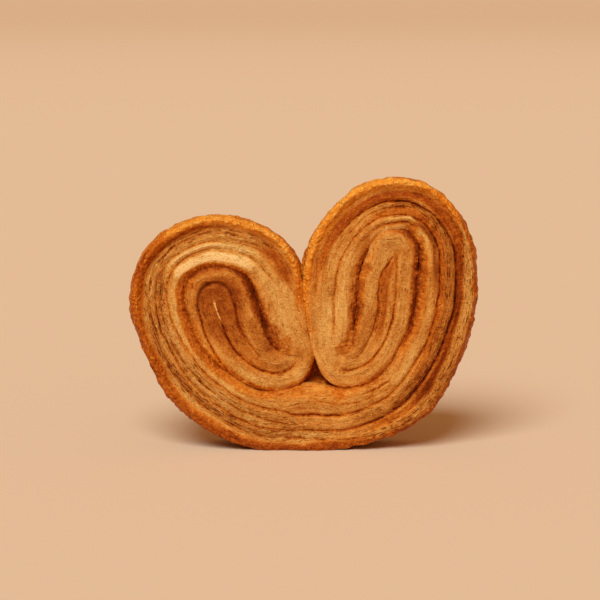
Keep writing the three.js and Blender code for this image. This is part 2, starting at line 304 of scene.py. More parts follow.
LINES: dict[str, Line] = {
    "long split under the pale layer": Line(
        ((8.4, -0.14, 0, 0), (8.7, -0.2, 0.5, 0.2), (9.3, -0.3, 0.6, 0.22), (9.8, -0.34, 0.6, 0.1),
        (10.2, -0.3, 0.6, 0.1), (10.6, -0.23, 0.6, 0), (11, -0.25, 0.6, 0.12), (11.7, -0.3, 0.6, 0.22),
        (12.3, -0.4, 0.6, 0.4), (13.2, -0.33, 0.5, 0.4), (13.9, -0.38, 0.5, 0.4), (14.6, -0.46, 0.5, 0.4),
        (16, -0.47, 0.6, 0.4), (17, -0.38, 0.6, 0.4), (17.4, -0.28, 0.7, 0.45), (17.8, -0.11, 0.9, 0.6),
        (18.3, -0.09, 1.1, 0.7), (18.8, -0.1, 1.1, 0.7), (19.2, -0.15, 0.9, 0.65),
        (19.6, -0.22, 0.7, 0.5), (20, -0.3, 0.6, 0.45), (20.5, -0.36, 0.6, 0.4), (21, -0.37, 0.6, 0.4),
        (21.5, -0.32, 0.7, 0.5), (22, -0.29, 0.8, 0.6), (23.6, -0.28, 0.8, 0.6), (24, -0.34, 0.8, 0.5),
        (25, -0.36, 0.8, 0.5), (25.5, -0.42, 0.8, 0.5), (26, -0.45, 0.8, 0.5), (27, -0.43, 0.9, 0.45),
        (28, -0.36, 0.8, 0.4), (28.5, -0.3, 0.7, 0.4), (29, -0.26, 0.6, 0.35), (30, -0.18, 0.5, 0.3),
        (31, -0.13, 0.4, 0.25), (31.6, -0.1, 0, 0)), half_width=0.55, broken=0.35
    ),
    "deep caramel split": Line(
        ((12.6, 0.09, 0.1, 0.1), (13.8, 0.11, 0.5, 0.45), (14.3, 0.08, 0.6, 0.45), (15, 0.13, 0.5, 0.4),
        (15.4, 0.15, 0.4, 0.35), (16.3, 0.2, 0.5, 0.35), (17.5, 0.3, 0.5, 0.35), (18.3, 0.37, 0.6, 0.4),
        (19, 0.36, 0.8, 0.55), (19.5, 0.3, 1.2, 0.7), (20, 0.2, 1.5, 0.75), (20.5, 0.17, 1.7, 0.8),
        (21, 0.15, 1.8, 0.8), (21.5, 0.2, 2, 0.8), (22, 0.24, 2, 0.8), (23, 0.27, 2, 0.85),
        (23.6, 0.27, 1.8, 0.8), (24, 0.2, 1.2, 0.5), (24.5, 0.14, 1, 0.45), (25, 0.13, 1, 0.5),
        (25.5, 0.06, 1.3, 0.65), (26, 0.05, 1.6, 0.75), (26.6, 0.08, 1.6, 0.75), (27.2, 0.11, 1.4, 0.65),
        (27.8, 0.12, 1.1, 0.45), (28.3, 0.17, 0.8, 0.3), (29, 0.25, 0.5, 0.2), (30, 0.32, 0.3, 0.15),
        (31, 0.36, 0, 0)), half_width=0.7, broken=0.2
    ),
    "split beside the right roll's pale layer": Line(
        ((25, -0.62, 0, 0), (25.5, -0.72, 0.6, 0.25), (26.3, -0.72, 0.9, 0.55), (27, -0.72, 0.9, 0.55),
        (27.8, -0.66, 0.6, 0.35), (28.5, -0.62, 0.2, 0.15), (29, -0.6, 0, 0)), half_width=0.8, broken=0.1
    ),
    "left roll, ring outside": Line(
        ((0, 0.63, 0.8, 0.5), (0.6, 0.65, 0.8, 0.5), (1.2, 0.72, 0.8, 0.5), (1.7, 0.82, 0.8, 0.5),
        (2.4, 0.96, 0, 0.2)), broken=0.25
    ),
    "left roll, ring inside": Line(
        ((0, -0.37, 0.8, 0.55), (0.5, -0.35, 0.8, 0.5), (1, -0.31, 0.7, 0.5), (1.4, -0.28, 0.7, 0.45),
        (2, -0.27, 0.6, 0.4), (2.6, -0.27, 0.4, 0.3), (3.1, -0.24, 0, 0)), broken=0.25
    ),
    "left roll, core": Line(
        ((0.55, 0.1, 0, 0), (0.95, 0.13, 1.3, 0.8), (1.3, 0.2, 1.1, 0.7), (1.6, 0.22, 1, 0.6),
        (2, 0.24, 0.9, 0.55), (3, 0.17, 0.8, 0.5), (3.5, 0.15, 0.8, 0.5), (4, 0.11, 0.7, 0.45),
        (4.5, 0.08, 0.6, 0.4), (5, 0.05, 0.4, 0.25), (5.6, 0, 0, 0)), broken=0.2
    ),
    "right roll, upper": Line(
        ((33, 0, 0, 0), (33.8, 0.1, 0.4, 0.3), (34.5, 0.15, 0.6, 0.45), (35, 0.2, 0.7, 0.5),
        (35.5, 0.27, 0.8, 0.45), (36, 0.29, 0.7, 0.45), (36.6, 0.3, 0.6, 0.4), (37, 0.27, 0.5, 0.35),
        (37.5, 0.22, 0.4, 0.3), (38, 0.18, 0.3, 0.2)), broken=0.2
    ),
    "right roll, lower": Line(
        ((34.6, -0.38, 0, 0), (35, -0.36, 0.4, 0.2), (35.5, -0.33, 0.5, 0.3), (36, -0.28, 0.6, 0.4),
        (36.5, -0.26, 0.6, 0.4), (37, -0.31, 0.7, 0.45), (37.3, -0.28, 0.8, 0.5),
        (37.6, -0.15, 0.8, 0.55), (37.9, 0, 0.5, 0.3), (38, 0.08, 0.2, 0.1)), broken=0.2
    ),
    "left lobe, fine split": Line(
        ((10.2, 0.4, 0, 0), (11, 0.37, 0.4, 0.3), (12.2, 0.33, 0.5, 0.3), (13.5, 0.36, 0.5, 0.3),
        (15, 0.42, 0.4, 0.3), (17, 0.52, 0.4, 0.3), (18.2, 0.6, 0.5, 0.4), (19.2, 0.72, 0.4, 0.3),
        (20.2, 0.8, 0, 0)), half_width=0.4, broken=0.8
    ),
    "left lobe, inner fine split": Line(
        ((10.4, -0.02, 0, 0), (11.1, 0.03, 0.4, 0.3), (12.2, -0.04, 0.4, 0.25), (14.3, -0.08, 0.4, 0.3),
        (16.2, -0.12, 0.5, 0.35), (17, 0.02, 0.5, 0.35), (17.9, 0.16, 0.3, 0.2),
        (18.8, 0.16, 0, 0)), half_width=0.4, broken=0.75
    ),
    "right side, faint split": Line(
        ((19.6, 0.22, 0, 0), (20.2, 0.05, 0.4, 0.25), (21, -0.07, 0.4, 0.2), (22, -0.03, 0.3, 0.15),
        (24, -0.02, 0.3, 0.15), (25.5, -0.12, 0.5, 0.25), (26.5, -0.13, 0.5, 0.3),
        (27.5, -0.12, 0.5, 0.3), (28.3, -0.06, 0.3, 0.2), (29.2, 0.06, 0.3, 0.15),
        (30.4, 0.2, 0, 0)), half_width=0.45, broken=0.6
    ),
    "base, short slit": Line(
        ((19.4, -0.66, 0, 0), (19.7, -0.69, 0.6, 0.5), (20.2, -0.7, 0.6, 0.45),
        (20.6, -0.7, 0, 0)), half_width=0.4, broken=0.2
    ),
    "base, thin splits": Line(
        ((17.9, -0.46, 0, 0), (18.5, -0.5, 0.4, 0.3), (19.3, -0.46, 0.4, 0.3), (20, -0.52, 0.5, 0.35),
        (20.8, -0.6, 0, 0)), broken=0.7
    ),
    "left lobe, pale ridge": Line(
        ((9.8, 0.14, 0, 0), (10.6, 0.15, -0.4, -0.2), (12.6, 0.17, -0.4, -0.2),
        (14.5, 0.2, 0, 0)), half_width=0.8, broken=0.1
    ),
    "left lobe, pale ridge beside the split": Line(
        ((9, -0.1, 0, 0), (10, -0.1, -0.4, -0.42), (11.6, -0.15, -0.4, -0.42), (12.4, -0.18, -0.3, -0.1),
        (14.5, -0.28, -0.3, -0.1), (16.5, -0.3, -0.2, -0.1),
        (17.5, -0.15, 0, 0)), half_width=1.1, broken=0.1
    ),
    "right roll, pale ridge": Line(
        ((25.4, -0.55, 0, 0), (26, -0.58, -0.4, -0.1), (27.8, -0.55, -0.4, -0.1),
        (29, -0.45, 0, 0)), half_width=0.9, broken=0.1
    ),
    "left roll, pale ridge": Line(
        ((2.8, -0.2, 0, 0), (3.2, -0.22, -0.4, -0.15), (4.3, -0.35, -0.4, -0.15),
        (5, -0.45, 0, 0)), half_width=0.9, broken=0.1
    ),
    # Painted highlight: a thin slit browned far below 0, paler than any crumb, standing for a bright glint.
    "left roll, sugar slit": Line(
        ((0, 0.13, -0.1, -1.2), (0.4, 0.13, -0.2, -1.7), (0.85, 0.11, -0.2, -1.5),
        (1, 0.11, 0, 0)), half_width=0.2, broken=0
    ),
}

BANDS: dict[str, Band] = {
    "pale layer of the left lobe": Band(
        ((8.2, -0.5, 0.22, 0.46), (8.8, -0.5, 0.22, 0.54), (9.5, -0.53, 0.19, 0.38),
        (10.2, -0.55, 0.19, 0.12), (11, -0.56, 0.18, 0.02), (11.8, -0.56, 0.16, 0.04),
        (12.4, -0.67, 0.13, 0.22), (13, -0.62, 0.12, 0.27), (13.7, -0.54, 0.12, 0.29),
        (15.4, -0.58, 0.1, 0.28), (17.2, -0.58, 0.1, 0.32)), glaze=0.1
    ),
    "pale layer over the long split": Band(
        ((9.9, -0.1, 0.06, 0.34), (10.5, -0.1, 0.1, 0.22), (11.8, -0.1, 0.1, 0.22),
        (12.3, -0.12, 0.06, 0.34)), glaze=0.1
    ),
    "orange next to the left roll": Band(
        ((8.4, -0.85, 0.1, 0.4), (9.5, -0.88, 0.08, 0.12), (10.6, -0.86, 0.08, 0.42),
        (11.3, -0.8, 0.1, 0.52), (12.4, -0.87, 0.1, 0.25), (13.4, -0.84, 0.16, 0.48),
        (14.6, -0.82, 0.17, 0.52), (15.6, -0.85, 0.12, 0.4), (17, -0.87, 0.08, 0.36)), glaze=0.75
    ),
    "hollow at the cleft": Band(
        ((8, 0.42, 0.1, 0.5), (8.8, 0.36, 0.22, 0.6), (9.7, 0.3, 0.25, 0.6),
        (10.6, 0.42, 0.15, 0.55)), glaze=0.6, soft=0.2
    ),
    "fine layers of the left lobe": Band(
        ((10, 0.38, 0.18, 0.5), (12.4, 0.34, 0.18, 0.47), (13.2, 0.36, 0.14, 0.4),
        (14.2, 0.4, 0.16, 0.46), (15.4, 0.35, 0.16, 0.48), (17, 0.4, 0.18, 0.42),
        (18.6, 0.45, 0.18, 0.38)), glaze=0.05, soft=0.1, flake=0.9
    ),
    "dashed layers of the left lobe": Band(
        ((12.4, -0.05, 0.18, 0.5), (14, -0.04, 0.2, 0.42), (16, -0.08, 0.2, 0.38), (17.2, 0, 0.2, 0.4),
        (18, 0.1, 0.1, 0.4)), glaze=0.05, soft=0.1, flake=0.8
    ),
    # Painted shade: a darker band in the recess behind the crust's raised bead, where its shade falls.
    "caramel behind the crust": Band(
        ((10.8, 0.62, 0.07, 0.6), (11.3, 0.6, 0.1, 0.66), (12.6, 0.6, 0.08, 0.58),
        (13.5, 0.62, 0.06, 0.6)), glaze=0.8
    ),
    # Crust colour; its darker browning on the base, from station 17 to 19, is partly painted shade near the
    # floor.
    "crust of the left lobe": Band(
        ((7.6, 0.84, 0.24, 0.46), (8.4, 0.9, 0.2, 0.3), (9.5, 0.9, 0.26, 0.29), (11, 0.9, 0.26, 0.28),
        (11.6, 0.92, 0.24, 0.36), (12.5, 0.92, 0.24, 0.6), (13.2, 0.92, 0.26, 0.5),
        (14.5, 0.88, 0.28, 0.57), (16, 0.92, 0.25, 0.56), (17.5, 0.94, 0.22, 0.64),
        (19, 0.95, 0.2, 0.6)), glaze=0.9
    ),
    # Painted shadow: a thin darker band along the inner edge of the base crust.
    "edge of the base crust": Band(
        ((13.8, 0.76, 0.03, 0.5), (14.6, 0.78, 0.05, 0.62), (17, 0.82, 0.05, 0.66),
        (18.6, 0.84, 0.05, 0.66), (19.4, 0.84, 0.03, 0.56)), glaze=0.6, soft=0.05
    ),
    "crust of the right lobe": Band(
        ((19, 0.95, 0.2, 0.48), (20, 0.96, 0.16, 0.58), (21.5, 0.97, 0.12, 0.6), (23.5, 0.97, 0.11, 0.58),
        (24.3, 0.9, 0.18, 0.46), (25.3, 0.86, 0.22, 0.34), (26.2, 0.82, 0.26, 0.22),
        (27.5, 0.82, 0.28, 0.22), (29, 0.84, 0.24, 0.28), (30.3, 0.9, 0.14, 0.38),
        (31.4, 0.96, 0.06, 0.36)), glaze=0.95
    ),
    "wrinkled flakes of the right side": Band(
        ((19.3, 0.72, 0.16, 0.46), (20.2, 0.72, 0.16, 0.57), (21, 0.72, 0.15, 0.54),
        (22.5, 0.72, 0.15, 0.42), (23.8, 0.7, 0.14, 0.38), (24.6, 0.64, 0.1, 0.4)), glaze=0.1, flake=1
    ),
    "glossy caramel of the right side": Band(
        ((19.4, 0.48, 0.12, 0.46), (20.4, 0.4, 0.12, 0.52), (20.9, 0.4, 0.14, 0.7),
        (21.4, 0.39, 0.12, 0.8), (22.3, 0.39, 0.1, 0.74), (23.2, 0.42, 0.13, 0.73),
        (24.2, 0.48, 0.22, 0.66), (25, 0.42, 0.2, 0.66), (26.6, 0.34, 0.17, 0.7), (27.8, 0.3, 0.14, 0.68),
        (28.6, 0.4, 0.18, 0.66), (29.2, 0.42, 0.12, 0.54), (30.2, 0.54, 0.06, 0.44)), glaze=0.7
    ),
    "fine layers of the right side": Band(
        ((19.2, 0.04, 0.16, 0.5), (20, 0.04, 0.16, 0.52), (21.4, 0.02, 0.18, 0.6),
        (22.4, 0.02, 0.18, 0.52), (24, 0, 0.18, 0.52), (26.5, -0.08, 0.15, 0.5),
        (28, -0.05, 0.12, 0.42)), glaze=0.1, soft=0.1, flake=0.7
    ),
    "orange over the long split": Band(
        ((21.2, -0.18, 0.06, 0.5), (22, -0.17, 0.08, 0.52), (23.6, -0.18, 0.09, 0.52),
        (24.4, -0.24, 0.1, 0.54), (25.5, -0.3, 0.12, 0.54), (27, -0.3, 0.12, 0.54),
        (28, -0.26, 0.08, 0.46)), glaze=0.7
    ),
    "orange next to the right roll": Band(
        ((21.3, -0.82, 0.08, 0.45), (22, -0.82, 0.12, 0.44), (23.5, -0.84, 0.14, 0.47),
        (24.6, -0.88, 0.1, 0.26), (25.4, -0.9, 0.08, 0.42)), glaze=0.7
    ),
    "pale turn over the right roll": Band(
        ((25.4, -0.94, 0.08, 0.18), (26, -0.94, 0.1, 0.15), (27.6, -0.94, 0.1, 0.15),
        (28.2, -0.92, 0.08, 0.3)), glaze=0.3
    ),
    "pale layer of the right lobe": Band(
        ((20.6, -0.55, 0.14, 0.27), (22.5, -0.5, 0.14, 0.41), (24, -0.47, 0.1, 0.66),
        (25, -0.5, 0.1, 0.66), (26, -0.54, 0.06, 0.24), (27.5, -0.54, 0.06, 0.36),
        (28.4, -0.5, 0.1, 0.54), (29.2, -0.5, 0.2, 0.3), (31, -0.35, 0.28, 0.3),
        (32.5, -0.15, 0.3, 0.3)), glaze=0.15
    ),
    "pale layer beside the right roll": Band(
        ((23.8, -0.71, 0.07, 0.24), (25, -0.72, 0.09, 0.22)), glaze=0.1
    ),
    "pale layers of the right bend": Band(
        ((29.6, 0.14, 0.28, 0.37), (31, 0.15, 0.32, 0.26), (32.6, 0.2, 0.32, 0.36)), glaze=0.1, soft=0.12
    ),
    # Painted light: the rim where the right bend turns into the hole is made paler so that it reads as lit.
    "pale outside of the right bend": Band(
        ((31.9, 0.88, 0.12, 0.24), (33.4, 0.9, 0.12, 0.24)), glaze=0.5, soft=0.12
    ),
    "golden crust over the base": Band(
        ((16.9, -0.95, 0.05, 0.4), (17.5, -0.82, 0.16, 0.4), (18.2, -0.78, 0.22, 0.36),
        (19, -0.78, 0.2, 0.37), (19.6, -0.88, 0.12, 0.38)), glaze=0.55
    ),
    "left roll, brown top": Band(
        ((-0.5, 0, 0.7, 0.67), (0.8, 0.05, 0.55, 0.62), (1.6, 0.08, 0.4, 0.56), (2.4, 0.1, 0.32, 0.5),
        (3.4, 0.1, 0.24, 0.42)), glaze=0.35, soft=0.2
    ),
    "left roll, toasted inner layer": Band(
        ((1.2, -0.62, 0.18, 0.54), (3, -0.6, 0.24, 0.52), (4.6, -0.58, 0.22, 0.44)), soft=0.12
    ),
    "left roll, dark shoulder": Band(
        ((-0.5, -0.9, 0.13, 0.66), (1.2, -0.93, 0.1, 0.64), (2.2, -0.97, 0.05, 0.58)), glaze=0.6, soft=0.1
    ),
    "left roll, pale side": Band(
        ((2.4, 0.6, 0.18, 0.34), (3.2, 0.62, 0.22, 0.36), (4.2, 0.62, 0.24, 0.45),
        (5.2, 0.6, 0.2, 0.36)), glaze=0.1
    ),
    "left roll, orange side": Band(
        ((0.4, 0.84, 0.06, 0.46), (1.4, 0.9, 0.1, 0.34), (2.6, 0.88, 0.1, 0.34),
        (4, 0.9, 0.08, 0.36)), glaze=0.7
    ),
    "left fold caramel": Band(
        ((4, -0.96, 0.06, 0.66), (5.2, -0.9, 0.14, 0.7), (6.2, -0.75, 0.3, 0.55), (6.7, -0.65, 0.35, 0.6),
        (7.1, -0.8, 0.2, 0.6), (7.6, -0.92, 0.1, 0.62)), glaze=0.6, soft=0.16
    ),
    "pale turn at the cleft": Band(
        ((5.6, 0.3, 0.5, 0.52), (6.6, 0.2, 0.5, 0.37), (7.4, 0.05, 0.48, 0.31), (8.2, -0.1, 0.42, 0.28),
        (8.8, -0.35, 0.3, 0.3), (9.5, -0.5, 0.2, 0.16)), glaze=0.12, soft=0.18
    ),
    "right fold caramel": Band(
        ((31, -0.85, 0.12, 0.46), (32, -0.8, 0.22, 0.52), (33, -0.92, 0.1, 0.5), (34, -0.84, 0.18, 0.4),
        (34.8, -0.87, 0.12, 0.48), (35.4, -0.92, 0.08, 0.55)), glaze=0.5, soft=0.14
    ),
    "pale layer at the right fold": Band(
        ((32.7, -0.6, 0.14, 0.24), (33.5, -0.6, 0.16, 0.24), (34, -0.6, 0.1, 0.32)), glaze=0.1
    ),
    "right roll, core": Band(
        ((35.4, -0.05, 0.08, 0.44), (36, -0.08, 0.14, 0.54), (37, -0.1, 0.16, 0.56),
        (37.6, 0.02, 0.1, 0.54), (38, 0.1, 0.04, 0.5)), glaze=0.55
    ),
    "right roll, orange side": Band(
        ((35.6, -0.82, 0.06, 0.42), (36.2, -0.84, 0.1, 0.5), (37.2, -0.84, 0.08, 0.42),
        (38, -0.86, 0.06, 0.28)), glaze=0.7
    ),
    "right roll, pale layers": Band(
        ((34.4, 0.66, 0.2, 0.42), (35.4, 0.62, 0.24, 0.43), (36.5, 0.65, 0.24, 0.38),
        (38, 0.6, 0.3, 0.46)), glaze=0.1
    ),
    "right roll, inner pale layer": Band(
        ((34.8, -0.55, 0.16, 0.43), (35.8, -0.58, 0.18, 0.54), (36.6, -0.55, 0.16, 0.38),
        (38, -0.45, 0.3, 0.35)), glaze=0.1
    ),
    "right roll, dark shoulder": Band(
        ((35.8, 0.97, 0.05, 0.58), (36.8, 0.92, 0.12, 0.66), (38.5, 0.9, 0.13, 0.66)), glaze=0.6, soft=0.1
    ),
}

# Browning in the V where two turns meet: station and browning, on the sheet's two surfaces.
INNER_STAIN: Rows = (
    (0, 0.85), (2.5, 0.7), (4, 0.5), (6.2, 0.4), (7, 0.6), (8.6, 0.6), (11, 0.65), (12, 0.2),
    (12.8, 0.15), (13.6, 0.25), (15, 0.25), (16, 0.12), (17.2, 0.3), (18.2, 0.05), (19, 0.35),
    (19.8, 0.35), (20.4, 0.05), (21.4, 0.1), (22, 0.6), (23.6, 0.65), (24.6, 0.25), (25.6, 0.2),
    (25.9, 0), (27.6, 0), (28.4, 0.25), (31, 0.6), (32.6, 0.5), (33.4, 0.1), (35.4, 0.35), (36.2, 0.5),
    (37.4, 0.1), (38, 0),
)
OUTER_STAIN: Rows = (
    (0, 0.45), (2, 0.3), (4, 0.3), (4.8, 0.5), (5.8, 0.25), (6.6, 0.05), (7.6, 0.1), (8.4, 0), (30.4, 0),
    (31.4, 0), (33.2, 0), (34.2, 0.4), (35, 0.2), (36.2, 0.4), (36.8, 0.75), (37.8, 0.75), (38, 0.45),
)


# ---------------------------------------------------------------- relief and browning
@dataclass(frozen=True)
class Spots:
    """Points of a face as arrays of one shape: where they lie on the sheet, and in its grain.

    Grain coordinates are mm along the sheet, mm from its middle, and a small number that sets
    the sheet's two halves and the slice's two faces apart.
    """

    station: np.ndarray
    across: np.ndarray
    half: np.ndarray
    along: np.ndarray
    over: np.ndarray
    apart: np.ndarray


@dataclass(frozen=True)
class Marks:
    """What points are like, as arrays of one shape.

    Height is in mm; bake, glaze, flake and crust are shares. Edge is mm from the sheet's surface and
    stain the browning that it has there. Split is mm from the nearest seam, with its depth and browning.
    """

    height: np.ndarray
    bake: np.ndarray
    glaze: np.ndarray
    flake: np.ndarray
    crust: np.ndarray
    stain: np.ndarray
    edge: np.ndarray
    split: np.ndarray
    split_depth: np.ndarray
    split_bake: np.ndarray

    def mixed(self, other: Marks, share: np.ndarray) -> Marks:
        """These marks turned into another's by a share."""
        pairs = zip(vars(self).values(), vars(other).values())
        return Marks(*((1 - share) * mine + share * theirs for mine, theirs in pairs))


@dataclass(frozen=True)
class CutFace:
    """Relief and browning of a cut face, read by station and place across."""

    hollow: Rows = (
        (6, 0), (9, 1.5), (12, 1.6), (15, 1.1), (18, 0.6), (22, 0.7), (25, 1.5), (28, 1.7), (31, 0.6),
        (33, 0),
    )
    hollow_across: float = 0.52
    hollow_half_width: float = 0.3
    open_outside: Rows = (
        (4.4, 0), (5, 0.35), (6.2, 0.3), (7.2, 0), (7.6, 0), (9, 1), (29, 1), (31, 0), (31.6, 0),
        (32.2, 0.25), (34, 0.3), (34.6, 0),
    )
    open_inside: Rows = ((17.2, 0), (17.9, 1), (18.7, 1), (19.5, 0))
    open_radius: float = 1.8
    valley_width: float = 1.7
    valley_depth: Rows = (
        (3.6, 0.85), (5.2, 0.45), (6.4, 0.4), (7.4, 0.5), (9, 0.95), (12, 0.95), (15, 0.7), (29.6, 0.85),
        (30.4, 0.5), (32, 0.4), (33.6, 0.4), (35.4, 0.85),
    )
    ply_rise: float = 0.7
    ply_share: Rows = (
        (4.2, 1), (5.4, 0.1), (6.8, 0.1), (8, 1), (30.2, 1), (31.6, 0.1), (34, 0.1), (35.4, 1),
    )
    ply_across: float = -0.6
    ply_half_width: float = 0.5
    waves: Rows = ((0.18, 2.3, 4.0), (0.12, 5.1, -3.0))  # height, and turns by station and across
    crumb_bake: float = 0.38
    crumb_glaze: float = 0.2
    crumb_flake: float = 0.22
    band_fade: float = 0.3  # stations over which a band begins and ends
    band_blur: Ripple = Ripple(4.0, 1.6, 0.05, 7.0)
    seam_share: float = 0.45  # share of a seam's depth that is cut into the mesh
    seam_spread: float = 1.5
    seam_wander: Ripple = Ripple(2.6, 1.0, 0.22, 5.5)
    seam_gaps: Ripple = Ripple(1.5, 1.0)
    seam_lanes: Pair = (3.3, 7.7)  # how far the next seam's wander and gaps lie in the noise
    seam_gap_limits: Pair = (-0.2, 0.5)
    no_seam: float = 9.0
    alone_limits: Pair = (0.4, 0.95)  # nearest seam over the second, where the finish lets go of it
    least_gap: float = 0.01  # mm to the second seam, at the least, to divide by
    crisp_from: Pair = (0.0, 0.15)
    crisp_until: Pair = (37.8, 37.97)
    tip_share: float = 0.4  # more of a seam's depth where it isn't crisp
    tip_bake: float = 0.6
    valley_near: Pair = (0.2, 1.6)
    valley_stained: Pair = (0.0, 0.3)
    valley_glaze: float = 0.85
    valley_crumbs: Ripple = Ripple(1.1, 1.1, 0.16, 43.0)
    crusty_glaze: Pair = (0.5, 0.9)
    layer: Ripple = Ripple(5.5, 0.9, 0.17)
    thin_layer: Ripple = Ripple(2.6, 0.5, 0.08, 11.0)
    # Browning for each unit of the layers' and thin layers' noise: painted shade, lighter where the layers
    # stand proud and darker where they sink.
    layer_bake: Pair = (-0.045, -0.02)
    flake_gain: Pair = (0.35, 1.1)  # height of the layers in crumb, and what flake adds
    uneven: Ripple = Ripple(4.5, 3.5, 0.14, 29.0)
    clouds: Ripple = Ripple(7.0, 3.0, 0.05, 31.0)
    noise: Noise = Noise(11)

    def broad(self, at: Spots) -> np.ndarray:
        """The large forms that the solid has too: puffed layer, hollow, waves, rounded edges.

        Args:
            at: The points.

        Returns:
            Their height in mm.
        """
        hollow = swell(at.across - self.hollow_across, self.hollow_half_width)
        hollow = read(self.hollow, at.station) * hollow
        puffed = swell(at.across - self.ply_across, self.ply_half_width)
        puffed = self.ply_rise * read(self.ply_share, at.station) * puffed
        waves = sum(h * np.sin(a * at.station + o * at.across) for h, a, o in self.waves)
        distance = (1.0 - np.abs(at.across)) * at.half
        inward = 1.0 - np.clip(distance / self.open_radius, 0.0, 1.0)
        rounding = self.open_radius * (1.0 - np.sqrt(1.0 - inward * inward))
        steep = (1.0 - np.clip(distance / self.valley_width, 0.0, 1.0)) ** 2
        valley = read(self.valley_depth, at.station) * steep
        inside, outside = (read(rows, at.station) for rows in (self.open_inside, self.open_outside))
        opened = np.where(at.across < 0, inside, outside)
        return puffed - hollow + waves - valley - opened * (rounding - valley)

    def banded(self, at: Spots) -> tuple[np.ndarray, np.ndarray, np.ndarray]:
        """What the bands paint over the plain crumb.

        Args:
            at: The points.

        Returns:
            Browning, glaze and flake.
        """
        plain = (self.crumb_bake, self.crumb_glaze, self.crumb_flake)
        bake, glaze, flake = (np.full(at.station.shape, value) for value in plain)
        blur, fade = self.band_blur.on(self.noise, at.along, at.over, at.apart), self.band_fade
        for band in BANDS.values():
            first, last = band.rows[0][0], band.rows[-1][0]
            begun, ended = (smooth(at.station, end - fade, end + fade) for end in (first, last))
            middle, width, brown = (read(band.rows, at.station, column) for column in (1, 2, 3))
            distance = np.abs(at.across + blur - middle)
            share = begun * (1 - ended) * (1 - smooth(distance - width, -band.soft, band.soft))
            bake += share * (brown - bake)
            glaze += share * (band.glaze - glaze)
            if band.flake is not None:
                flake += share * (band.flake - flake)
        return bake, glaze, flake

    def seamed(self, at: Spots) -> tuple[np.ndarray, ...]:
        """What the seams do to a cut face.

        Args:
            at: The points.

        Returns:
            How far the face sinks, the browning that the mesh takes, and for the finish the distance
            to the nearest seam, that seam's depth and its browning.
        """
        crisp = smooth(at.station, *self.crisp_from) * (1 - smooth(at.station, *self.crisp_until))
        split = np.full(at.station.shape, self.no_seam)
        second = split.copy()
        sunk, baked, split_depth, split_bake = (0 * split for _ in range(4))
        for i, line in enumerate(LINES.values()):
            place, depth, brown = (read(line.rows, at.station, column) for column in (1, 2, 3))
            distance = (at.across - place) * at.half
            distance = distance + self.seam_wander.on(self.noise, at.along, self.seam_lanes[0] * i)
            inside = (at.station >= line.rows[0][0]) & (at.station <= line.rows[-1][0])
            gaps = self.seam_gaps.raw(self.noise, at.along, self.seam_lanes[1] * i, at.apart)
            whole = inside * (1 - line.broken * smooth(gaps, *self.seam_gap_limits))
            depth, brown = whole * depth, whole * brown
            share = self.seam_share + self.tip_share * (1 - crisp)
            sunk += share * depth * swell(distance, self.seam_spread * line.half_width)
            baked += self.tip_bake * (1 - crisp) * brown * swell(distance, line.half_width)
            distance = np.where(inside, distance, self.no_seam)
            nearest = np.abs(distance) < np.abs(split)
            second = np.where(nearest, np.abs(split), np.minimum(second, np.abs(distance)))
            split = np.where(nearest, distance, split)
            split_depth = np.where(nearest, depth, split_depth)
            split_bake = np.where(nearest, brown, split_bake)
        alone = crisp * (1 - smooth(np.abs(split) / np.maximum(second, self.least_gap), *self.alone_limits))
        return sunk, baked, split, alone * split_depth, alone * split_bake

    def marks(self, at: Spots) -> Marks:
        """Everything that the layers do to a cut face.

        Args:
            at: The points.

        Returns:
            Their height and shares.
        """
        bake, glaze, flake = self.banded(at)
        sunk, baked, split, split_depth, split_bake = self.seamed(at)
        stain = np.where(at.across < 0, read(INNER_STAIN, at.station), read(OUTER_STAIN, at.station))
        edge = (1 - np.abs(at.across)) * at.half
        caramel = (1 - smooth(edge, *self.valley_near)) * smooth(stain, *self.valley_stained)
        glaze += caramel * (self.valley_glaze - glaze)
        crumbs = caramel * self.valley_crumbs.on(self.noise, at.along, at.over, at.apart)
        grain, shade = self.grain(at, flake)
        return Marks(
            height=self.broad(at) - sunk + crumbs + grain,
            bake=bake + baked + shade,
            glaze=glaze,
            flake=flake,
            crust=smooth(glaze, *self.crusty_glaze),
            stain=stain,
            edge=np.minimum(edge, FAR_EDGE),
            split=np.clip(split, -FAR_SPLIT, FAR_SPLIT),
            split_depth=split_depth,
            split_bake=split_bake,
        )

    def grain(self, at: Spots, flake: np.ndarray) -> tuple[np.ndarray, np.ndarray]:
        """Layers that stand a little proud of each other, and slow unevenness.

        Args:
            at: The points.
            flake: How flaky they are.

        Returns:
            Height in mm, and browning: slow unevenness, and painted shade that darkens the low layers and
                lightens the raised ones.
        """
        (crumb, gain), (brown, faint) = self.flake_gain, self.layer_bake
        layers, thin = (r.raw(self.noise, at.along, at.over, at.apart) for r in (self.layer, self.thin_layer))
        uneven, clouds = (r.on(self.noise, at.along, at.over, at.apart) for r in (self.uneven, self.clouds))
        height = (crumb + gain * flake) * (self.layer.rise * layers + self.thin_layer.rise * thin)
        return height + uneven, clouds + brown * layers + faint * thin


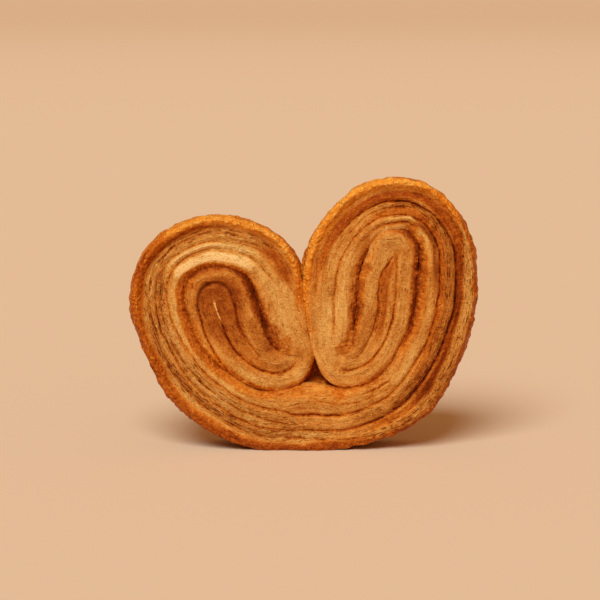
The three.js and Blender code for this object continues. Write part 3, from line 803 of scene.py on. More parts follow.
@dataclass(frozen=True)
class CrustSide:
    """The sheet's surfaces between the cut faces: blistered crust outside, caramel between turns."""

    # The 2 mm bellies round the three-cornered hole close it halfway through the slice, so that its dark
    # caramel walls show there as painted shade in place of the shaded floor behind; the smaller bellies
    # elsewhere are the sheet's own swelling.
    outer_belly: Rows = (
        (4, 0.7), (5, 2), (6.4, 2), (7.4, 0.7), (9, 0.5), (29, 0.5), (31, 0.7), (32, 2), (33.8, 2),
        (34.8, 0.7),
    )
    inner_belly: Rows = ((17, 0.7), (17.8, 2), (18.8, 2), (19.6, 0.7))
    belly_level: float = 5.78
    belly_fade: Pair = (1.6, 5.8)
    waves: Rows = ((0.08, 7.3, 2.1), (0.14, 3.7, -3.4))  # height, and turns by station and by level
    crust_from: Pair = (7.5, 9.0)
    crust_until: Pair = (30.0, 31.5)
    lump: Ripple = Ripple(7.0, 7.0, 0.35, 15.0)
    lump_fade: Pair = (3.0, 6.8)
    blister: Ripple = Ripple(1.4, 1.4, 0.34)
    bump: Ripple = Ripple(0.9, 0.9, 0.15, 5.0)
    joint_blisters: float = 0.4  # share of the blisters' height between turns
    bake: Rows = (
        (8, 0.38), (9.5, 0.38), (11, 0.36), (13, 0.5), (15, 0.58), (16, 0.6), (18, 0.5), (20, 0.46),
        (22, 0.4), (23.5, 0.4), (25, 0.37), (26, 0.34), (28, 0.3), (30, 0.38),
    )
    patches: Ripple = Ripple(3.0, 3.0, 0.07, 9.0)
    clouds: Ripple = Ripple(9.0, 6.0, 0.08, 19.0)
    joint_bake: float = 0.7
    glaze: float = 0.85
    noise: Noise = Noise(23)

    def crusty(self, station: np.ndarray) -> np.ndarray:
        """Share by which the sheet's outer surface is the pastry's outside at a station."""
        return smooth(station, *self.crust_from) * (1 - smooth(station, *self.crust_until))

    def bulge(self, station: np.ndarray, level: np.ndarray, turn: np.ndarray) -> np.ndarray:
        """How far the surfaces stand past the sheet's half thickness.

        Args:
            station: Station of each point.
            level: Its place from front to back, in mm.
            turn: 0 on the outer surface and 1 on the inner one.

        Returns:
            The distances in mm.
        """
        belly = (1 - turn) * read(self.outer_belly, station) + turn * read(self.inner_belly, station)
        share = np.clip(level / self.belly_level, -1.0, 1.0)
        waves = sum(h * np.sin(a * station + o * share) for h, a, o in self.waves)
        return (belly + waves) * (1 - smooth(np.abs(level), *self.belly_fade))

    def blisters(self, along: np.ndarray, level: np.ndarray) -> np.ndarray:
        """Height of the blisters of the baked surface, in mm."""
        return self.blister.on(self.noise, along, level) + self.bump.on(self.noise, along, level)

    def marks(self, station: np.ndarray, level: np.ndarray, along: np.ndarray, turn: np.ndarray) -> Marks:
        """Height and finish of the surfaces between the cut faces.

        Args:
            station: Station of each point.
            level: Its place from front to back, in mm.
            along: Its place along the sheet, in mm.
            turn: 0 on the outer surface and 1 on the inner one.

        Returns:
            Height past the half thickness, and shares.
        """
        crusty = (1 - turn) * self.crusty(station)
        lumps = self.lump.on(self.noise, along, level) * (1 - smooth(np.abs(level), *self.lump_fade))
        blisters = self.blisters(along, level) * (self.joint_blisters + (1 - self.joint_blisters) * crusty)
        bake = crusty * read(self.bake, station) + (1 - crusty) * self.joint_bake
        bake += self.patches.on(self.noise, along, level) + self.clouds.on(self.noise, along, level)
        none, one = np.zeros(bake.shape), np.ones(bake.shape)
        return Marks(
            height=self.bulge(station, level, turn) + blisters + crusty * lumps,
            bake=bake,
            glaze=self.glaze * one,
            flake=none,
            crust=one,
            stain=none,
            edge=FAR_EDGE * one,
            split=FAR_SPLIT * one,
            split_depth=none,
            split_bake=none,
        )


MARK_NAMES = tuple(field.name for field in fields(Marks))[1:]
GRAIN_NAMES = ("along", "over", "apart")
VECTORS = {
    "grain": GRAIN_NAMES,
    "baking": ("bake", "glaze", "flake"),
    "edges": ("crust", "stain", "edge"),
    "splits": ("split", "split_depth", "split_bake"),
}  # how the marks are kept on the mesh


# ---------------------------------------------------------------- meshes
ByName = dict[str, np.ndarray]
Faces = list[tuple[int, ...]]


@dataclass
class Mesh:
    """Vertices in mm, faces, and a value a vertex for each named mark."""

    points: np.ndarray
    faces: Faces
    marks: ByName

    def to_object(self, name: str, shift: np.ndarray) -> bpy.types.Object:
        """The mesh as a Blender object in metres.

        Args:
            name: Name of the object and its mesh.
            shift: How far it moves, in mm.

        Returns:
            The object, linked to the scene.
        """
        data = bpy.data.meshes.new(name)
        data.from_pydata(((self.points + shift) * MM).tolist(), [], self.faces)
        data.update()
        made = bpy.data.objects.new(name, data)
        bpy.context.scene.collection.objects.link(made)
        return made


@dataclass(frozen=True)
class Sections:
    """Where half sections of the sheet stand. Turn is 0 outwards, 1 inwards, between round a tip."""

    station: np.ndarray
    middle: np.ndarray
    half: np.ndarray
    reach: np.ndarray
    along: np.ndarray
    turn: np.ndarray

    def flat(self, out: np.ndarray) -> np.ndarray:
        """Points (x, z) that lie out from the middles by distances in mm, one row a section."""
        return self.middle[:, None, :] + self.reach[:, None, :] * out[..., None]


@dataclass(frozen=True)
class FoldCaramel:
    """Caramel that ran into the fold of a roll and set there, as a round bar from front to back."""

    x: float
    z: float
    radius: float
    length: float = 15.6
    dome: float = 0.5
    sides: int = 36
    steps: int = 10
    bake: float = 0.5
    glaze: float = 0.5
    crust: float = 0.4
    lump: Ripple = Ripple(1.0, 1.0, 0.3)
    mottle: Ripple = Ripple(1.0, 1.0, 0.14, 4.0)
    noise: Noise = Noise(37)

    def mesh(self) -> Mesh:
        """The bar, with a low dome at each end.

        Returns:
            A closed mesh with its marks.
        """
        reach = self.length / 2 - self.dome
        turns = np.linspace(0, math.pi / 2, self.steps + 1)
        rings = [(-reach - self.dome * math.cos(t), self.radius * math.sin(t)) for t in turns[1:]]
        rings += [(-y, r) for y, r in reversed(rings)]
        angles = np.linspace(0, 2 * math.pi, self.sides, endpoint=False)
        points = [(self.x + r * math.cos(a), y, self.z + r * math.sin(a)) for y, r in rings for a in angles]
        first, last, n = len(points), len(points) + 1, self.sides
        points += [(self.x, -self.length / 2, self.z), (self.x, self.length / 2, self.z)]
        faces = [
            ((i + 1) * n + j, (i + 1) * n + (j + 1) % n, i * n + (j + 1) % n, i * n + j)
            for i in range(len(rings) - 1)
            for j in range(n)
        ]
        end = (len(rings) - 1) * n
        faces += [(j, (j + 1) % n, first) for j in range(n)]
        faces += [(end + (j + 1) % n, end + j, last) for j in range(n)]
        place = np.array(points)
        x, y, z = place.T
        place[:, 1] += np.sign(y) * self.lump.on(self.noise, x, z)
        same = np.ones(len(points))
        marks = {name: 0 * same for name in (*MARK_NAMES, *GRAIN_NAMES)}
        marks |= {"bake": self.bake + self.mottle.on(self.noise, x, z), "glaze": self.glaze * same}
        marks |= {"crust": self.crust * same, "edge": FAR_EDGE * same, "split": FAR_SPLIT * same}
        marks |= {"along": x, "over": z}
        return Mesh(place, faces, marks)


@dataclass(frozen=True)
class Scorch:
    """A patch of the cut faces with its own browning and glaze, about x and z in mm."""

    x: float
    z: float
    reach: float
    bake: float
    glaze: float = 0.4
    fill: float = 0.0  # share by which caramel levels the face there
    cover: float = 0.7  # share by which that caramel covers the stain beside a valley
    fade: Pair = (0.2, 1.05)
    ragged: Ripple = Ripple(1.2, 1.2, 0.45, 50.0)

    def share(self, flat: np.ndarray, noise: Noise) -> np.ndarray:
        """How much of the patch shows.

        Args:
            flat: Points (x, z).
            noise: What makes its edge ragged.

        Returns:
            The shares from 0 to 1.
        """
        x, z = flat[..., 0], flat[..., 1]
        distance = np.hypot(x - self.x, z - self.z) / self.reach
        return 1 - smooth(distance + self.ragged.on(noise, x, z), *self.fade)


@dataclass(frozen=True)
class RolledSheet:
    """The whole pastry: one sheet in touching turns, fused where they meet."""

    route: SheetRoute = SheetRoute()
    face: CutFace = CutFace()
    side: CrustSide = CrustSide()
    caramel: tuple[FoldCaramel, ...] = (
        FoldCaramel(-5.9, 28.4, 1.9),
        FoldCaramel(-8.0, 31.2, 1.8),
        FoldCaramel(11.0, 29.3, 2.2),
        FoldCaramel(12.5, 31.9, 2.0),
        FoldCaramel(-32.7, 46.8, 1.4, 14.2, bake=0.6),
        *(
            FoldCaramel(x, z, 1.3, 13.8, bake=0.6)
            for x, z in ((16.8, 53.2), (16.1, 51.0), (15.4, 48.8), (14.5, 42.8), (14.1, 40.6), (13.7, 38.4))
        ),  # down the right roll's inner valley
    )
    scorches: tuple[Scorch, ...] = tuple(
        Scorch(*row)
        for row in (
            (-6.4, 29.8, 2.9, 0.52, 0.4, 0.8), (-9.4, 33.0, 2.6, 0.58, 0.4, 0.6),
            (10.6, 29.2, 3.0, 0.52, 0.4, 0.8), (12.6, 32.6, 2.2, 0.52, 0.4, 0.6),
            (28.8, 61.5, 2.2, 0.5, 0.7, 0.35), (30.8, 58.0, 2.4, 0.54, 0.7, 0.7),
            (31.6, 53.5, 2.4, 0.55, 0.7, 0.7), (31.5, 49.2, 2.2, 0.54, 0.7, 0.7),
            (-24.4, 45.6, 2.2, 0.66), (-32.7, 46.8, 2.2, 0.46, 0.7, 0.3),
            (15.8, 51.0, 2.6, 0.56, 0.6, 0.75), (14.3, 45.5, 2.5, 0.6, 0.6, 0.7),
            (13.6, 40.3, 2.3, 0.6, 0.6, 0.6), (31.3, 45.5, 2.2, 0.54, 0.7, 0.6),
            (3.6, 17.2, 2.6, 0.3, 0.6), (-2.6, 17.6, 2.4, 0.42, 0.85), (9.0, 16.4, 2.6, 0.42, 0.85),
        )
    )  # x, z, reach, browning, glaze and fill
    caramel_level: float = -0.1
    caramel_lump: Ripple = Ripple(1.1, 1.1, 0.25, 70.0)
    thickness: float = 17.0
    back_relief: float = 0.6
    back_bake: float = 0.05
    back_apart: float = 14.0  # sets the back's grain apart from the front's
    far: float = 0.2  # sets the grain of the sheet's two halves apart, for each mm from the middle
    side_over: float = 9.0  # sets the sides' grain past the faces'
    pitch: float = 0.46  # mm between sections
    front_places: int = 29
    back_places: int = 15
    side_places: int = 13
    crowding: float = 1.3  # how much closer places stand near the edge; 1 is even
    lip: Pair = (0.86, 1.0)  # places across where the blisters push the front's edge out
    rim: Pair = (0.6, 0.85)  # places across where they push the front's crust forward
    rim_rise: float = 0.9
    rim_shift: float = 40.0
    tip_stretch: float = 0.08
    tip_grain: float = 0.6
    tip_bend: Ripple = Ripple(2.6, 2.6, 1.7, 60.0)
    # For each tip, where the seam that runs round it lies on the sheet's outer and inner half.
    tip_rings: tuple[Pair, Pair] = ((0.63, 0.37), (0.5, 0.5))
    floor_trim: float = 0.5
    taper: float = 0.0022  # share of its height by which the slice is taller, for each mm nearer the front

    def places(self, count: int) -> np.ndarray:
        """Places across from 0 to 1, closer together near 1."""
        return 1 - (1 - np.linspace(0, 1, count)) ** self.crowding

    def bend(self, at: Sections, out: np.ndarray) -> np.ndarray:
        """How far the grain strays across the sheet round a tip, in mm, so that it runs in no even rings."""
        x, z = np.moveaxis(at.flat(out), -1, 0)
        return np.sin(np.pi * at.turn)[:, None] * self.tip_bend.on(self.face.noise, x, z)

    def filled(self, at: Sections, out: np.ndarray, height: np.ndarray) -> np.ndarray:
        """A cut face with the caramel that levels its scorched folds.

        Args:
            at: The half sections.
            out: How far out the points lie, in mm.
            height: Height of the bare face, in mm.

        Returns:
            The height with the caramel.
        """
        flat = at.flat(out)
        level = self.caramel_level + self.caramel_lump.on(self.face.noise, flat[..., 0], flat[..., 1])
        for scorch in self.scorches:
            height = height + scorch.fill * scorch.share(flat, self.face.noise) * (level - height)
        return height

    def face_marks(self, at: Sections, places: np.ndarray, offset: float) -> Marks:
        """Marks of one cut face of half sections.

        Args:
            at: The half sections.
            places: Places from the middle out, from 0 to 1.
            offset: Sets this face's grain apart.

        Returns:
            The marks, one row a section.
        """
        shape = (len(at.station), len(places))
        across = np.broadcast_to(places, shape)
        station, half, along, turn = (
            np.broadcast_to(column[:, None], shape) for column in (at.station, at.half, at.along, at.turn)
        )
        over = across * half + self.bend(at, across * half)
        apart = self.far * across * half * (1 - 2 * turn) + offset

        def one_side(sign: int, reach: np.ndarray) -> Marks:
            """Marks as the sheet's outer or inner half has them."""
            return self.face.marks(Spots(station, sign * reach, half, along, over, apart))

        if not at.turn.any():
            return one_side(1, across)
        if at.turn.all() and np.ptp(at.turn) == 0:
            return one_side(-1, across)
        rings = self.tip_rings[0 if at.station[0] < self.route.last / 2 else 1]
        ring = np.interp(turn, [0, 1], rings)
        outer, inner = (
            np.where(across < ring, across / ring * end, end + (across - ring) / (1 - ring) * (1 - end))
            for end in rings
        )
        return one_side(1, outer).mixed(one_side(-1, inner), smooth(turn, 0.0, 1.0))

    def half_sections(self, at: Sections) -> tuple[np.ndarray, ByName]:
        """Half sections from the front's middle round a surface of the sheet to the back's middle.

        Args:
            at: Where they stand.

        Returns:
            Points, one row of points a section, and the marks by name.
        """
        front, back = self.places(self.front_places), self.places(self.back_places)
        plane = self.thickness / 2 - self.face.ply_rise
        near, far = self.face_marks(at, front, 0.0), self.face_marks(at, back, self.back_apart)
        half = at.half[:, None]
        y_front = -plane - self.filled(at, front * half, near.height)
        y_back = plane + self.back_relief * self.filled(at, back * half, far.height)
        step = np.linspace(0, 1, self.side_places + 2)[None, 1:-1]
        y_side = y_front[:, -1:] + (y_back[:, -1:] - y_front[:, -1:]) * step
        station, along, turn = (
            np.broadcast_to(column[:, None], y_side.shape) for column in (at.station, at.along, at.turn)
        )
        side = self.side.marks(station, y_side, along, turn)

        crusty = ((1 - at.turn) * self.side.crusty(at.station))[:, None]
        lip = self.side.blisters(along[:, :1], y_front[:, -1:])
        out_front = front * half + crusty * lip * smooth(front, *self.lip)
        bumps = self.side.blisters(along[:, :1] + self.rim_shift, out_front)
        y_front = y_front - self.rim_rise * crusty * smooth(front, *self.rim) * bumps
        out_side, out_back = half + side.height, back * half
        out = np.concatenate([out_front, out_side, out_back[:, ::-1]], axis=1)
        y = np.concatenate([y_front, y_side, y_back[:, ::-1]], axis=1)
        flat = at.flat(out)
        points = np.stack([flat[..., 0], y, flat[..., 1]], axis=-1)

        marks = {}
        for name in MARK_NAMES:
            parts = [getattr(near, name), getattr(side, name), getattr(far, name)[:, ::-1]]
            marks[name] = np.concatenate(parts, axis=1)
        marks["bake"][:, -self.back_places :] += self.back_bake
        for scorch in self.scorches:
            share = scorch.share(flat, self.face.noise)
            marks["bake"] += share * (scorch.bake - marks["bake"])
            marks["glaze"] += share * (scorch.glaze - marks["glaze"])
            marks["stain"] *= 1 - scorch.cover * scorch.fill * share
        over = np.concatenate([out_front, half + self.side_over + y_side, out_back[:, ::-1]], axis=1)
        marks["along"] = np.broadcast_to(at.along[:, None], y.shape)
        marks["over"] = over + self.bend(at, out)
        marks["apart"] = self.far * out * (1 - 2 * at.turn[:, None]) + (y > 0) * self.back_apart
        return points, marks

    def length(self, first: float, last: float) -> Mesh:
        """A closed length of the sheet, with a round tip at a free end.

        Args:
            first: The station where it starts.
            last: The station where it ends.

        Returns:
            Its mesh with marks.
        """
        station = self.route.stations(first, last, self.pitch)
        middle, half, outward = self.route.frames(station)
        along = self.route.travelled(station)
        rim, turn = read(self.route.rim, station), np.zeros(len(station))
        outer, outer_marks = self.half_sections(Sections(station, middle, half + rim, outward, along, turn))
        inner, inner_marks = self.half_sections(Sections(station, middle, half, -outward, along, turn + 1))
        ring = np.concatenate([outer, inner[:, -2:0:-1]], axis=1)
        count, size = ring.shape[:2]
        points = [ring.reshape(-1, 3)]
        values = {
            name: [np.concatenate([value, inner_marks[name][:, -2:0:-1]], axis=1).ravel()]
            for name, value in outer_marks.items()
        }
        index = np.arange(count * size).reshape(count, size)
        turned = np.roll(index, -1, axis=1)
        quads = np.stack([index[:-1], turned[:-1], turned[1:], index[1:]], axis=-1).reshape(-1, 4)
        faces = [tuple(quad) for quad in quads.tolist()]
        for end in (0, count - 1):
            loop = index[end].tolist()
            if station[end] in (0, self.route.last):
                tip_points, tip_marks, tip_faces = self.tip(station[end], loop, sum(map(len, points)))
                points.append(tip_points)
                faces += tip_faces
                for name, value in tip_marks.items():
                    values[name].append(value)
            else:
                faces.append(tuple(loop) if end else tuple(reversed(loop)))
        return Mesh(np.concatenate(points), faces, {n: np.concatenate(v) for n, v in values.items()})

    def tip(self, station: float, loop: list[int], offset: int) -> tuple[np.ndarray, ByName, Faces]:
        """The round inner end of a roll, where the sheet's outer half turns into its inner half.

        Args:
            station: The end's station.
            loop: Vertex numbers of the section that it closes.
            offset: Number of the tip's first vertex.

        Returns:
            Points, marks and faces.
        """
        way = -1 if station == 0 else 1
        (middle,), (half,), ((x, z),) = self.route.frames(np.array([station]))
        turn = np.linspace(0, 1, round(math.pi * half * self.tip_grain / self.pitch) + 1)[1:-1]
        angle = math.pi * turn
        cos, sin = np.cos(angle), way * np.sin(angle)
        reach = np.stack([cos * x - sin * z, sin * x + cos * z], axis=1)
        reach *= (1 + self.tip_stretch * np.sin(angle))[:, None]
        along = self.route.travelled(np.array([station])) + way * self.tip_grain * half * np.sin(angle)
        count = len(turn)
        stations, middles, halves = np.full(count, station), np.tile(middle, (count, 1)), np.full(count, half)
        fan, marks = self.half_sections(Sections(stations, middles, halves, reach, along, turn))
        size, inside = fan.shape[1], fan.shape[1] - 2
        index = offset + np.arange(count * inside).reshape(count, inside)
        columns = [loop[1 : size - 1], *index.tolist(), loop[: size - 1 : -1]]
        faces: Faces = []
        for a, b in zip(columns, columns[1:]):
            faces.append((loop[0], a[0], b[0]))
            faces += [(a[j], a[j + 1], b[j + 1], b[j]) for j in range(inside - 1)]
            faces.append((a[-1], loop[size - 1], b[-1]))
        if way < 0:
            faces = [tuple(reversed(face)) for face in faces]
        return fan[:, 1:-1].reshape(-1, 3), {n: v[:, 1:-1].ravel() for n, v in marks.items()}, faces

    def build(self) -> bpy.types.Object:
        """Make the pastry and stand it in its solid's place.

        Returns:
            The fused object, with its marks as attributes.
        """
        ends = self.route.length_ends
        meshes = [self.length(a, b) for a, b in zip(ends, ends[1:])] + [bar.mesh() for bar in self.caramel]
        for mesh in meshes:
            mesh.points[:, 2] *= 1 - self.taper * mesh.points[:, 1]
            mesh.points[:, 2] = np.maximum(mesh.points[:, 2], self.floor_trim)
        everything = np.concatenate([mesh.points for mesh in meshes])
        low, high = everything.min(axis=0), everything.max(axis=0)
        solid_low, solid_high = (np.array(corner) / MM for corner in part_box(NODE))
        shift = (solid_low + solid_high) / 2 - (low + high) / 2
        shift[2] = -self.floor_trim
        log.info("sheet before fusing: %d points, %s mm", len(everything), np.round(high - low, 2))
        whole = fuse([mesh.to_object(f"length{i}", shift) for i, mesh in enumerate(meshes)])
        whole.name = whole.data.name = "rolled_pastry"
        keep_largest(whole.data)
        marks = {name: np.concatenate([mesh.marks[name] for mesh in meshes]) for name in meshes[0].marks}
        write_marks(whole.data, (everything + shift) * MM, marks)
        whole.data.shade_smooth()
        return whole

    def dress(self, pastry: bpy.types.Object, finish: PastryFinish) -> None:
        """Give the pastry its finish."""
        pastry.data.materials.append(finish.material())


def fuse(objects: list[bpy.types.Object]) -> bpy.types.Object:
    """Join closed objects into the first one's mesh, without the surfaces inside.

    Args:
        objects: What to join. All but the first are removed.

    Returns:
        The first object, with the joined mesh.
    """
    whole, others = objects[0], objects[1:]
    for other in others:
        union = whole.modifiers.new("union", "BOOLEAN")
        union.operation, union.solver, union.object = "UNION", "MANIFOLD", other
    evaluated = whole.evaluated_get(bpy.context.evaluated_depsgraph_get())
    data = bpy.data.meshes.new_from_object(evaluated)
    data.materials.clear()
    whole.modifiers.clear()
    whole.data = data
    for other in others:
        bpy.data.objects.remove(other)
    mesh = bmesh.new()
    mesh.from_mesh(data)
    bmesh.ops.remove_doubles(mesh, verts=mesh.verts, dist=WELD)
    bmesh.ops.dissolve_degenerate(mesh, edges=mesh.edges, dist=WELD)
    bmesh.ops.triangulate(mesh, faces=[face for face in mesh.faces if len(face.verts) > 4])
    mesh.to_mesh(data)
    mesh.free()
    return whole


def keep_largest(data: bpy.types.Mesh) -> None:
    """Drop the loose scraps of a mesh and keep its largest connected part.

    Args:
        data: The mesh.
    """
    edges = np.zeros(2 * len(data.edges), int)
    data.edges.foreach_get("vertices", edges)
    edges = edges.reshape(-1, 2)
    label = np.arange(len(data.vertices))
    while True:
        lowest = np.minimum(label[edges[:, 0]], label[edges[:, 1]])
        new = label.copy()
        np.minimum.at(new, edges[:, 0], lowest)
        np.minimum.at(new, edges[:, 1], lowest)
        new = new[new]
        if np.array_equal(new, label):
            break
        label = new
    kept = label == np.bincount(label).argmax()
    log.info("kept %d of %d points", kept.sum(), len(kept))
    if kept.all():
        return
    shapes = [p.vertices[:] for p in data.polygons if kept[p.vertices[0]]]
    number = np.cumsum(kept) - 1
    points = [v.co[:] for v in data.vertices if kept[v.index]]
    data.clear_geometry()
    data.from_pydata(points, [], [tuple(int(number[i]) for i in shape) for shape in shapes])
    data.update()


def write_marks(data: bpy.types.Mesh, points: np.ndarray, marks: ByName) -> None:
    """Give each vertex of a fused mesh the marks of the nearest point that it came from.

    Args:
        data: The fused mesh, which gets an attribute for each of VECTORS.
        points: Points before fusing, in metres.
        marks: Their marks by name.
    """
    tree = kdtree.KDTree(len(points))
    for i, point in enumerate(points.tolist()):
        tree.insert(point, i)
    tree.balance()
    source = np.array([tree.find(v.co)[1] for v in data.vertices])
    for name, parts in VECTORS.items():
        vectors = np.stack([marks[part][source] for part in parts], axis=1).astype(np.float32)
        data.attributes.new(name, "FLOAT_VECTOR", "POINT").data.foreach_set("vector", vectors.ravel())


# ---------------------------------------------------------------- node materials
Colour = tuple[int, int, int]
Scale = tuple[float, float, float]
Stops = tuple[tuple[float, Colour], ...]
Node = bpy.types.Node
Socket = bpy.types.NodeSocket


def linear(colour: Colour) -> tuple[float, float, float, float]:
    """An sRGB colour of 0 to 255 as linear RGBA."""
    parts = [c / 255 for c in colour]
    return (*(p / 12.92 if p <= 0.04045 else ((p + 0.055) / 1.055) ** 2.4 for p in parts), 1.0)


class Nodes:
    """A short way to write node trees."""

    def __init__(self, tree: bpy.types.NodeTree) -> None:
        """Work on a tree."""
        self.tree = tree

    def add(self, kind: str, settings: dict | None = None, **inputs: object) -> Node:
        """Add a node, set its properties, and set or link its inputs by name or number.

        Args:
            kind: The node's type without "ShaderNode".
            settings: Properties of the node.
            **inputs: Values or sockets; underscores in a name stand for spaces, and i0 is input 0.

        Returns:
            The node.
        """
        node = self.tree.nodes.new(kind if kind.startswith("Node") else "ShaderNode" + kind)
        for name, value in (settings or {}).items():
            setattr(node, name, value)
        for name, value in inputs.items():
            key = int(name[1:]) if name[0] == "i" and name[1:].isdigit() else name.replace("_", " ")
            if isinstance(value, Socket):
                self.link(value, node.inputs[key])
            else:
                node.inputs[key].default_value = value
        return node

    def link(self, value: Socket, end: Socket) -> None:
        """Link two sockets."""
        self.tree.links.new(value, end)

    def math(self, operation: str, *values: object, clamp: bool = False) -> Socket:
        """A math node's result."""
        inputs = {f"i{n}": value for n, value in enumerate(values)}
        return self.add("Math", {"operation": operation, "use_clamp": clamp}, **inputs).outputs[0]

    def more(self, total: object, value: object, amount: object) -> Socket:
        """A total with an amount of a value added."""
        return self.math("MULTIPLY_ADD", value, amount, total)

    def product(self, a: object, b: object) -> Socket:
        """Two values multiplied."""
        return self.math("MULTIPLY", a, b)

    def centred(self, value: Socket) -> Socket:
        """Noise from 0 to 1, moved to lie about 0."""
        return self.math("SUBTRACT", value, 0.5)

    def attribute(self, name: str) -> Socket:
        """A vector attribute of the mesh."""
        return self.add("Attribute", {"attribute_name": name}).outputs["Vector"]

    def parts(self, vector: Socket) -> list[Socket]:
        """The three numbers of a vector."""
        return list(self.add("SeparateXYZ", i0=vector).outputs)

    def between(self, value: object, low: object, high: object) -> Socket:
        """Smooth step from 0 at low to 1 at high, which may be the lower number."""
        settings = {"interpolation_type": "SMOOTHSTEP", "clamp": True}
        return self.add("MapRange", settings, Value=value, From_Min=low, From_Max=high).outputs["Result"]

    def noise(self, vector: Socket, scale: float, detail: float = 2.0, rough: float = 0.5) -> Socket:
        """Noise from 0 to 1."""
        inputs = {"Vector": vector, "Scale": scale, "Detail": detail, "Roughness": rough}
        return self.add("TexNoise", {"noise_dimensions": "3D"}, **inputs).outputs["Fac"]

    def ramp(self, factor: Socket, stops: Stops) -> Socket:
        """A colour ramp.

        Args:
            factor: Where to read it.
            stops: Positions and colours.

        Returns:
            Its colour.
        """
        node = self.add("ValToRGB", Fac=factor)
        elements = node.color_ramp.elements
        while len(elements) < len(stops):
            elements.new(1.0)
        for element, (position, colour) in zip(elements, stops):
            element.position, element.color = position, linear(colour)
        return node.outputs["Color"]

    def mix(self, factor: object, a: object, b: object) -> Socket:
        """Two colours mixed."""
        return self.add("Mix", {"data_type": "RGBA"}, i0=factor, i6=a, i7=b).outputs[2]


def new_group(name: str, inputs: dict[str, str], outputs: tuple[str, ...]) -> tuple[Nodes, Node, Node]:
    """An empty shader node group with named sockets.

    Args:
        name: The group's name.
        inputs: Kinds of socket by name.
        outputs: Names of float sockets, or "Color" for a colour.

    Returns:
        Its nodes, and its two ends.
    """
    tree = bpy.data.node_groups.new(name, "ShaderNodeTree")
    given = {socket: "Color" if socket == "Color" else "Float" for socket in outputs}
    for ends, way in ((inputs, "INPUT"), (given, "OUTPUT")):
        for socket, kind in ends.items():
            tree.interface.new_socket(name=socket, in_out=way, socket_type="NodeSocket" + kind)
    nodes = Nodes(tree)
    return nodes, nodes.add("NodeGroupInput"), nodes.add("NodeGroupOutput")


def new_material(name: str) -> tuple[bpy.types.Material, Nodes, Node]:
    """A material with a Principled BSDF linked to its output.

    Args:
        name: The material's name.

    Returns:
        The material, its nodes and the shader.
    """
    material = bpy.data.materials.new(name)
    material.use_nodes = True
    material.node_tree.nodes.clear()
    nodes = Nodes(material.node_tree)
    shader = nodes.add("BsdfPrincipled")
    nodes.add("OutputMaterial", Surface=shader.outputs[0])
    return material, nodes, shader


@dataclass(frozen=True)
class Streaks:
    """Noise drawn out along the grain: its scale along, over and apart, and its place in the noise."""

    scale: Scale
    offset: float = 0.0
    detail: float = 2.0
    rough: float = 0.5

    def on(self, nodes: Nodes, grain: Socket) -> Socket:
        """The noise from 0 to 1, as nodes of a tree."""
        vector = nodes.add("Mapping", i0=grain, Scale=self.scale, Location=(self.offset,) * 3).outputs[0]
        return nodes.noise(vector, 1.0, self.detail, self.rough)


@dataclass(frozen=True)
class OvenBrowning:
    """How the pastry's colour follows its browning, for dry crumb and for set caramel."""

    crumb: Stops = (
        (0.0, (240, 199, 136)),
        (0.25, (214, 161, 86)),
        (0.45, (187, 117, 46)),
        (0.65, (147, 72, 19)),
        (0.85, (96, 35, 6)),
        (1.0, (58, 16, 3)),
    )
    caramel: Stops = (
        (0.0, (243, 179, 80)),
        (0.25, (227, 138, 36)),
        (0.45, (198, 99, 14)),
        (0.65, (152, 60, 6)),
        (0.85, (94, 28, 3)),
        (1.0, (54, 14, 2)),
    )
    layers: Streaks = Streaks((0.16, 1.0, 1.0), 0.0, 3.0, 0.6)
    threads: Streaks = Streaks((0.55, 2.6, 1.0), 31.0, 3.0, 0.6)
    streak_bakes: Pair = (0.2, 0.1)  # browning from end to end of the layers' and the threads' noise
    mottles: tuple[Pair, ...] = ((500.0, 0.24), (1500.0, 0.22))  # scale, and browning from end to end
    mottle_rough: float = 0.6

    def group(self) -> bpy.types.NodeTree:
        """The node group that turns browning into a colour.

        Returns:
            The group's tree.
        """
        inputs = {"Browning": "Float", "Caramel": "Float", "Grain": "Vector", "Place": "Vector"}
        nodes, start, end = new_group("oven browning", inputs, ("Color",))
        browning, caramel, grain, place = (start.outputs[name] for name in inputs)
        for streaks, bake in zip((self.layers, self.threads), self.streak_bakes):
            browning = nodes.more(browning, nodes.centred(streaks.on(nodes, grain)), bake)
        for scale, bake in self.mottles:
            patches = nodes.noise(place, scale, rough=self.mottle_rough)
            browning = nodes.more(browning, nodes.centred(patches), bake)
        dry, set_hard = nodes.ramp(browning, self.crumb), nodes.ramp(browning, self.caramel)
        nodes.link(nodes.mix(caramel, dry, set_hard), end.inputs["Color"])
        return nodes.tree


